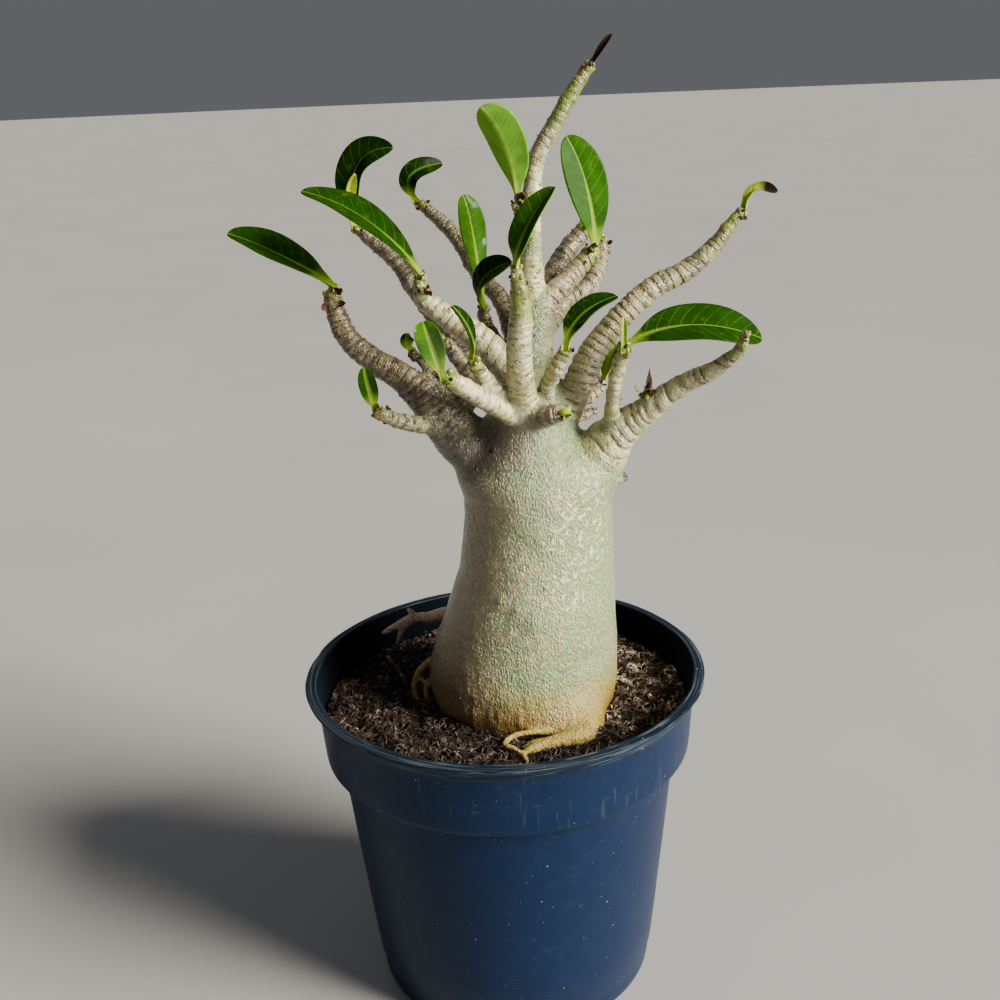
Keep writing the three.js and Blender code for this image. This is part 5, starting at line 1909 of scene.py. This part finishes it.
# Green bits that break out of the broken stub and out of the tuft: place and size
GREEN_BITS = [
    ((23.6, -26.3, 230.8), 1.7), ((24.7, -26.2, 229.3), 1.2), ((24.8, -25.9, 231.7), 0.9),
    ((49.2, -19.2, 233.6), 0.8), ((48.4, -19.4, 235.2), 0.7), ((47.8, -19.8, 236.6), 0.5),
    ((51.6, -18.2, 232.6), 1.0),
]


def make_green_bit(place, size, draw):
    """One small green bud, in the finish of the leaves."""
    bm = bmesh.new()
    layer = number_layer(bm, "tone")
    pose = Matrix.Translation(Vector(place) * MM) @ Matrix.Rotation(2 * draw(), 4, "Y")
    pose = pose @ Matrix.Diagonal((0.75 * size * MM, 0.6 * size * MM, 1.2 * size * MM, 1))
    for vertex in small_ball(bm, pose):
        vertex[layer] = 1.0
    return bm


draw = make_draw(901)
bud_tips = [name for name, length in GREEN_TIP.items() if length > 0]
knots = [make_buds(name, draw) for name in bud_tips]
buds = finish_piece(join_all(knots), "tip_buds", plant.data.materials[0])
green_bits = [make_green_bit(*row, draw) for row in GREEN_BITS]
sprouts = finish_piece(join_all(green_bits), "green_sprouts", leaf_green)
print(count_faces(buds), count_faces(sprouts))

# %% Scraps
# Scraps that show in front: root, tip, half width, curl and darkness
SCRAPS = [
    ((-56, 8, 263), (-60.5, 6, 264.8), 1.2, 1.6, 0.6),
    ((-53.5, 8, 263.5), (-48, 7, 262.6), 1.0, 1.2, 0.5),
    ((-53.5, 8.5, 268), (-49, 7.5, 270), 1.2, 1.4, 0.8),
    ((-38.5, -13, 229.5), (-42.5, -15, 229.2), 1.3, 1.4, 0.4),
    ((-38.8, -13, 231), (-37, -15, 233.2), 0.9, 1.2, 0.9),
    ((-20.5, -4, 268.5), (-15.5, -5, 270.8), 1.4, 2.6, 0.3),
    ((11, -1.5, 296), (6.8, -4, 297.8), 0.8, 1.5, 0.5),
    ((11, -1.5, 297), (8, -4, 301.6), 1.1, 1.6, 0.95),
    ((12, -1, 297.5), (15, -3, 300.6), 1.0, 1.4, 0.5),
    ((36.3, 16.5, 277.5), (34.2, 14, 284), 1.4, 2.2, 0.9),
    ((35.5, 17, 276.5), (32.6, 13, 279.5), 1.1, 2.0, 0.6),
    ((-27.5, 8, 245), (-31.5, 6, 247.6), 1.2, 1.6, 0.5),
    ((-27.5, 8, 244), (-31.8, 6, 242.6), 1.4, 2.4, 0.55),
    ((52, -18.5, 234), (51.2, -19.5, 243.5), 1.0, 0.5, 0.7),
    ((51, -18, 233.5), (47.8, -20, 237), 1.2, 1.9, 0.85),
    ((50.5, -17.5, 232), (46.6, -19, 233.6), 0.8, 1.5, 0.8),
    ((52.5, -18, 233), (54, -20, 239), 1.1, 1.4, 0.6),
    ((35.5, 11, 337), (34.4, 9.5, 341), 0.8, 1.2, 1.0),
    ((23.5, -25.5, 230.5), (25.6, -27.5, 227), 0.8, 1.8, 0.7),
    ((22.5, -25, 229), (21, -27.5, 226), 0.8, 1.6, 0.6),
]
TIP_SCRAPS = 3
SCRAP_THICKNESS = 0.22


def make_scrap(root, tip, half, curl, tone):
    """A dried scrap: a bent, cupped grid with a little thickness."""
    bm = bmesh.new()
    layer = number_layer(bm, "tone")
    root, tip = Vector(root), Vector(tip)
    length = (tip - root).length
    toward = Vector((0.3, -1, 0.4 + 0.5 * math.sin(9 * half)))
    reach = (tip - root).normalized()
    pose = frame_at(root, toward - reach * toward.dot(reach), reach)
    bmesh.ops.create_grid(bm, x_segments=6, y_segments=3, size=1)
    for vertex in bm.verts:
        t, u = (vertex.co.x + 1) / 2, vertex.co.y
        bend = curl * t
        along, lift = math.sin(bend) / curl, (1 - math.cos(bend)) / curl
        width = 1.5 * half * (1 - 0.75 * t * t) * (0.7 + 0.3 * math.cos(7 * t + 3 * half))
        local = Vector((along * length, u * width, lift * length + 0.6 * abs(u) * width)) * MM
        vertex.co = pose @ local
        vertex[layer] = tone
    bmesh.ops.solidify(bm, geom=list(bm.faces), thickness=SCRAP_THICKNESS * MM)
    bmesh.ops.recalc_face_normals(bm, faces=bm.faces)
    return bm


def scatter_scraps(draw):
    made = [make_scrap(*row) for row in SCRAPS]
    for name in LINES:
        if name in ROOTS or name in ("drySpur", "brokenStub"):
            continue
        for i in range(TIP_SCRAPS):
            place, out, forward = on_shoot(name, 0.3 + 5.5 * draw() ** 1.5, 2.1 * i + 3 * draw())
            way = out * (0.6 + 0.5 * draw()) + forward * (draw() - 0.2)
            tip = place + way * (1.0 + 1.8 * draw())
            made.append(make_scrap(place - 0.3 * out, tip, 0.45 + 0.5 * draw(), 0.8 + 1.8 * draw(),
                                   0.3 + 0.7 * draw()))
    return join_all(made)


def make_dried():
    finish, tree, shader = new_finish("dried leaf", Roughness=0.7, Specular_IOR_Level=0.3)
    where = place_in(tree)
    shade = ramp(read(tree, "tone"), (0.3, (0.145, 0.066, 0.028)), (0.6, (0.060, 0.025, 0.012)),
                 (0.9, (0.015, 0.008, 0.006)))
    cover = cloud(where, 900.0)
    shade = blend(1.0, shade, ramp(cover, (0.3, 0.6), (0.7, 1.4)), "MULTIPLY")
    wire(shader, Base_Color=shade, Normal=relief(cover, 0.0003, 0.8))
    return finish


dried = make_dried()
scraps = finish_piece(scatter_scraps(make_draw(311)), "dried_scraps", dried)
print(count_faces(scraps))

# %% Broken points
POINT_PITCH = 1.15


def make_points(name, draw):
    """Short brown points where leaf stalks broke off, thick on the old dark shoots."""
    bm = bmesh.new()
    layer = number_layer(bm, "tone")
    total = LINES[name]["along"][-1]
    crowd = 0.12 + 0.7 * min(1.0, BROWN.get(name, PLAIN_BROWN))
    for _ in range(round(crowd * total / POINT_PITCH * 1.6)):
        back, turn = total * 0.85 * draw(), 2 * math.pi * draw()
        place, out, forward = on_shoot(name, back, turn)
        size = 0.45 + 0.8 * draw() ** 2
        pose = frame_at(place + out * 0.35 * size, out + forward * (draw() - 0.3), forward)
        made = bmesh.ops.create_cone(
            bm, cap_ends=True, segments=3, radius1=(0.2 + 0.2 * draw()) * MM, radius2=0.05 * MM,
            depth=size * MM, matrix=pose)
        tone = 0.35 + 0.6 * draw()
        for vertex in made["verts"]:
            vertex[layer] = tone
    return bm


draw = make_draw(57)
point_shoots = [name for name in BRANCHES if name != "budTuft"]
all_points = join_all([make_points(name, draw) for name in point_shoots])
points = finish_piece(all_points, "stalk_points", dried, smooth=False)
print(count_faces(points))

# %% [markdown]
# ## Coir in the soil
# The peat is full of light brown coir threads and a few stouter bits of bark. Each thread is
# one short bent spline, and all of them share one bevel, which is much lighter work than
# sweeping a thousand tubes. The splines are turned into a mesh, so that they are exported.

# %% Threads and twigs
# No thread reaches further out than this, where the pot's wall stands
REACH = 67.5
THREAD_STEPS = 4
# How thick a thread is at each of its five points, as a share of its thickness
THREAD_TAPER = (0.4, 1, 1.1, 0.9, 0.3)
# Name, how many, and their length and thickness
LITTER = [("coir_threads", 2300, 5.0, 0.13), ("bark_bits", 1500, 3.0, 0.30)]


def lay_threads(name, count, length, thickness, draw):
    """Short bent splines that lie on the soil, as one mesh."""
    curve = bpy.data.curves.new(name, "CURVE")
    curve.dimensions = "3D"
    curve.bevel_depth = thickness * MM
    curve.bevel_resolution = 0
    curve.use_fill_caps = True
    for x, y in [drawn_spot(draw) for _ in range(count)]:
        turn, bend = 2 * math.pi * draw(), 1.3 * (draw() - 0.5)
        step = length * (0.5 + draw()) / THREAD_STEPS
        steep, arch = 0.5 * (draw() - 0.5), 0.5 + 1.1 * draw()
        line = []
        for k in range(THREAD_STEPS + 1):
            lift = arch * math.sin(math.pi * k / THREAD_STEPS)
            line.append((x, y, steep * (k - THREAD_STEPS / 2) * step + lift))
            x, y = x + step * math.cos(turn), y + step * math.sin(turn)
            turn += bend
        line = np.array(line)
        out = np.hypot(line[:, 0], line[:, 1])
        line[:, :2] *= np.minimum(1, REACH / out)[:, None]
        line[:, 2] += soil_height(line[:, 0], line[:, 1])
        spline = curve.splines.new("POLY")
        spline.points.add(THREAD_STEPS)
        for point, place, size in zip(spline.points, line, THREAD_TAPER):
            point.co = (*(place * MM), 1)
            point.radius = size
    return read_back(place_object(name, curve))


def make_coir():
    finish, tree, shader = new_finish("coir", Roughness=0.8, Specular_IOR_Level=0.3)
    where = place_in(tree)
    right = span(split(where)[0], -0.05, 0.06, -0.06, 0.07)
    cover = plus(cloud(where, 260.0, 4.0, 0.7), right)
    shade = ramp(cover, (0.36, (0.014, 0.008, 0.005)), (0.50, (0.080, 0.053, 0.041)),
                 (0.58, (0.20, 0.150, 0.120)), (0.68, (0.44, 0.355, 0.29)))
    clod = ramp(cloud(where, 120.0, 3.0), (0.42, 0.15), (0.60, 1.6))
    # Painted shade in front, painted light at the back and at the right
    clod = times(clod, soil_painted_light(where))
    wire(shader, Base_Color=blend(1.0, shade, clod, "MULTIPLY"))
    return finish


coir = make_coir()
for name, count, length, thickness in LITTER:
    mesh = lay_threads(name, count, length, thickness, make_draw(len(name) + count))
    piece = dress_mesh(mesh, name, coir)
    print(count_faces(piece))

# %% Twig
# The straight twig on the soil at the left: x, y, z and radius
TWIG = [[-47.5, 30, 116.5, 0.8], [-44, 24, 115.4, 1.0], [-41, 17, 114.6, 0.9], [-38.5, 9, 114, 0.6]]


def make_twig():
    bm = bmesh.new()
    sweep_tube(bm, centre_line(TWIG))
    bmesh.ops.recalc_face_normals(bm, faces=bm.faces)
    return bm


twig = finish_piece(make_twig(), "soil_twig", coir)
print(count_faces(twig))
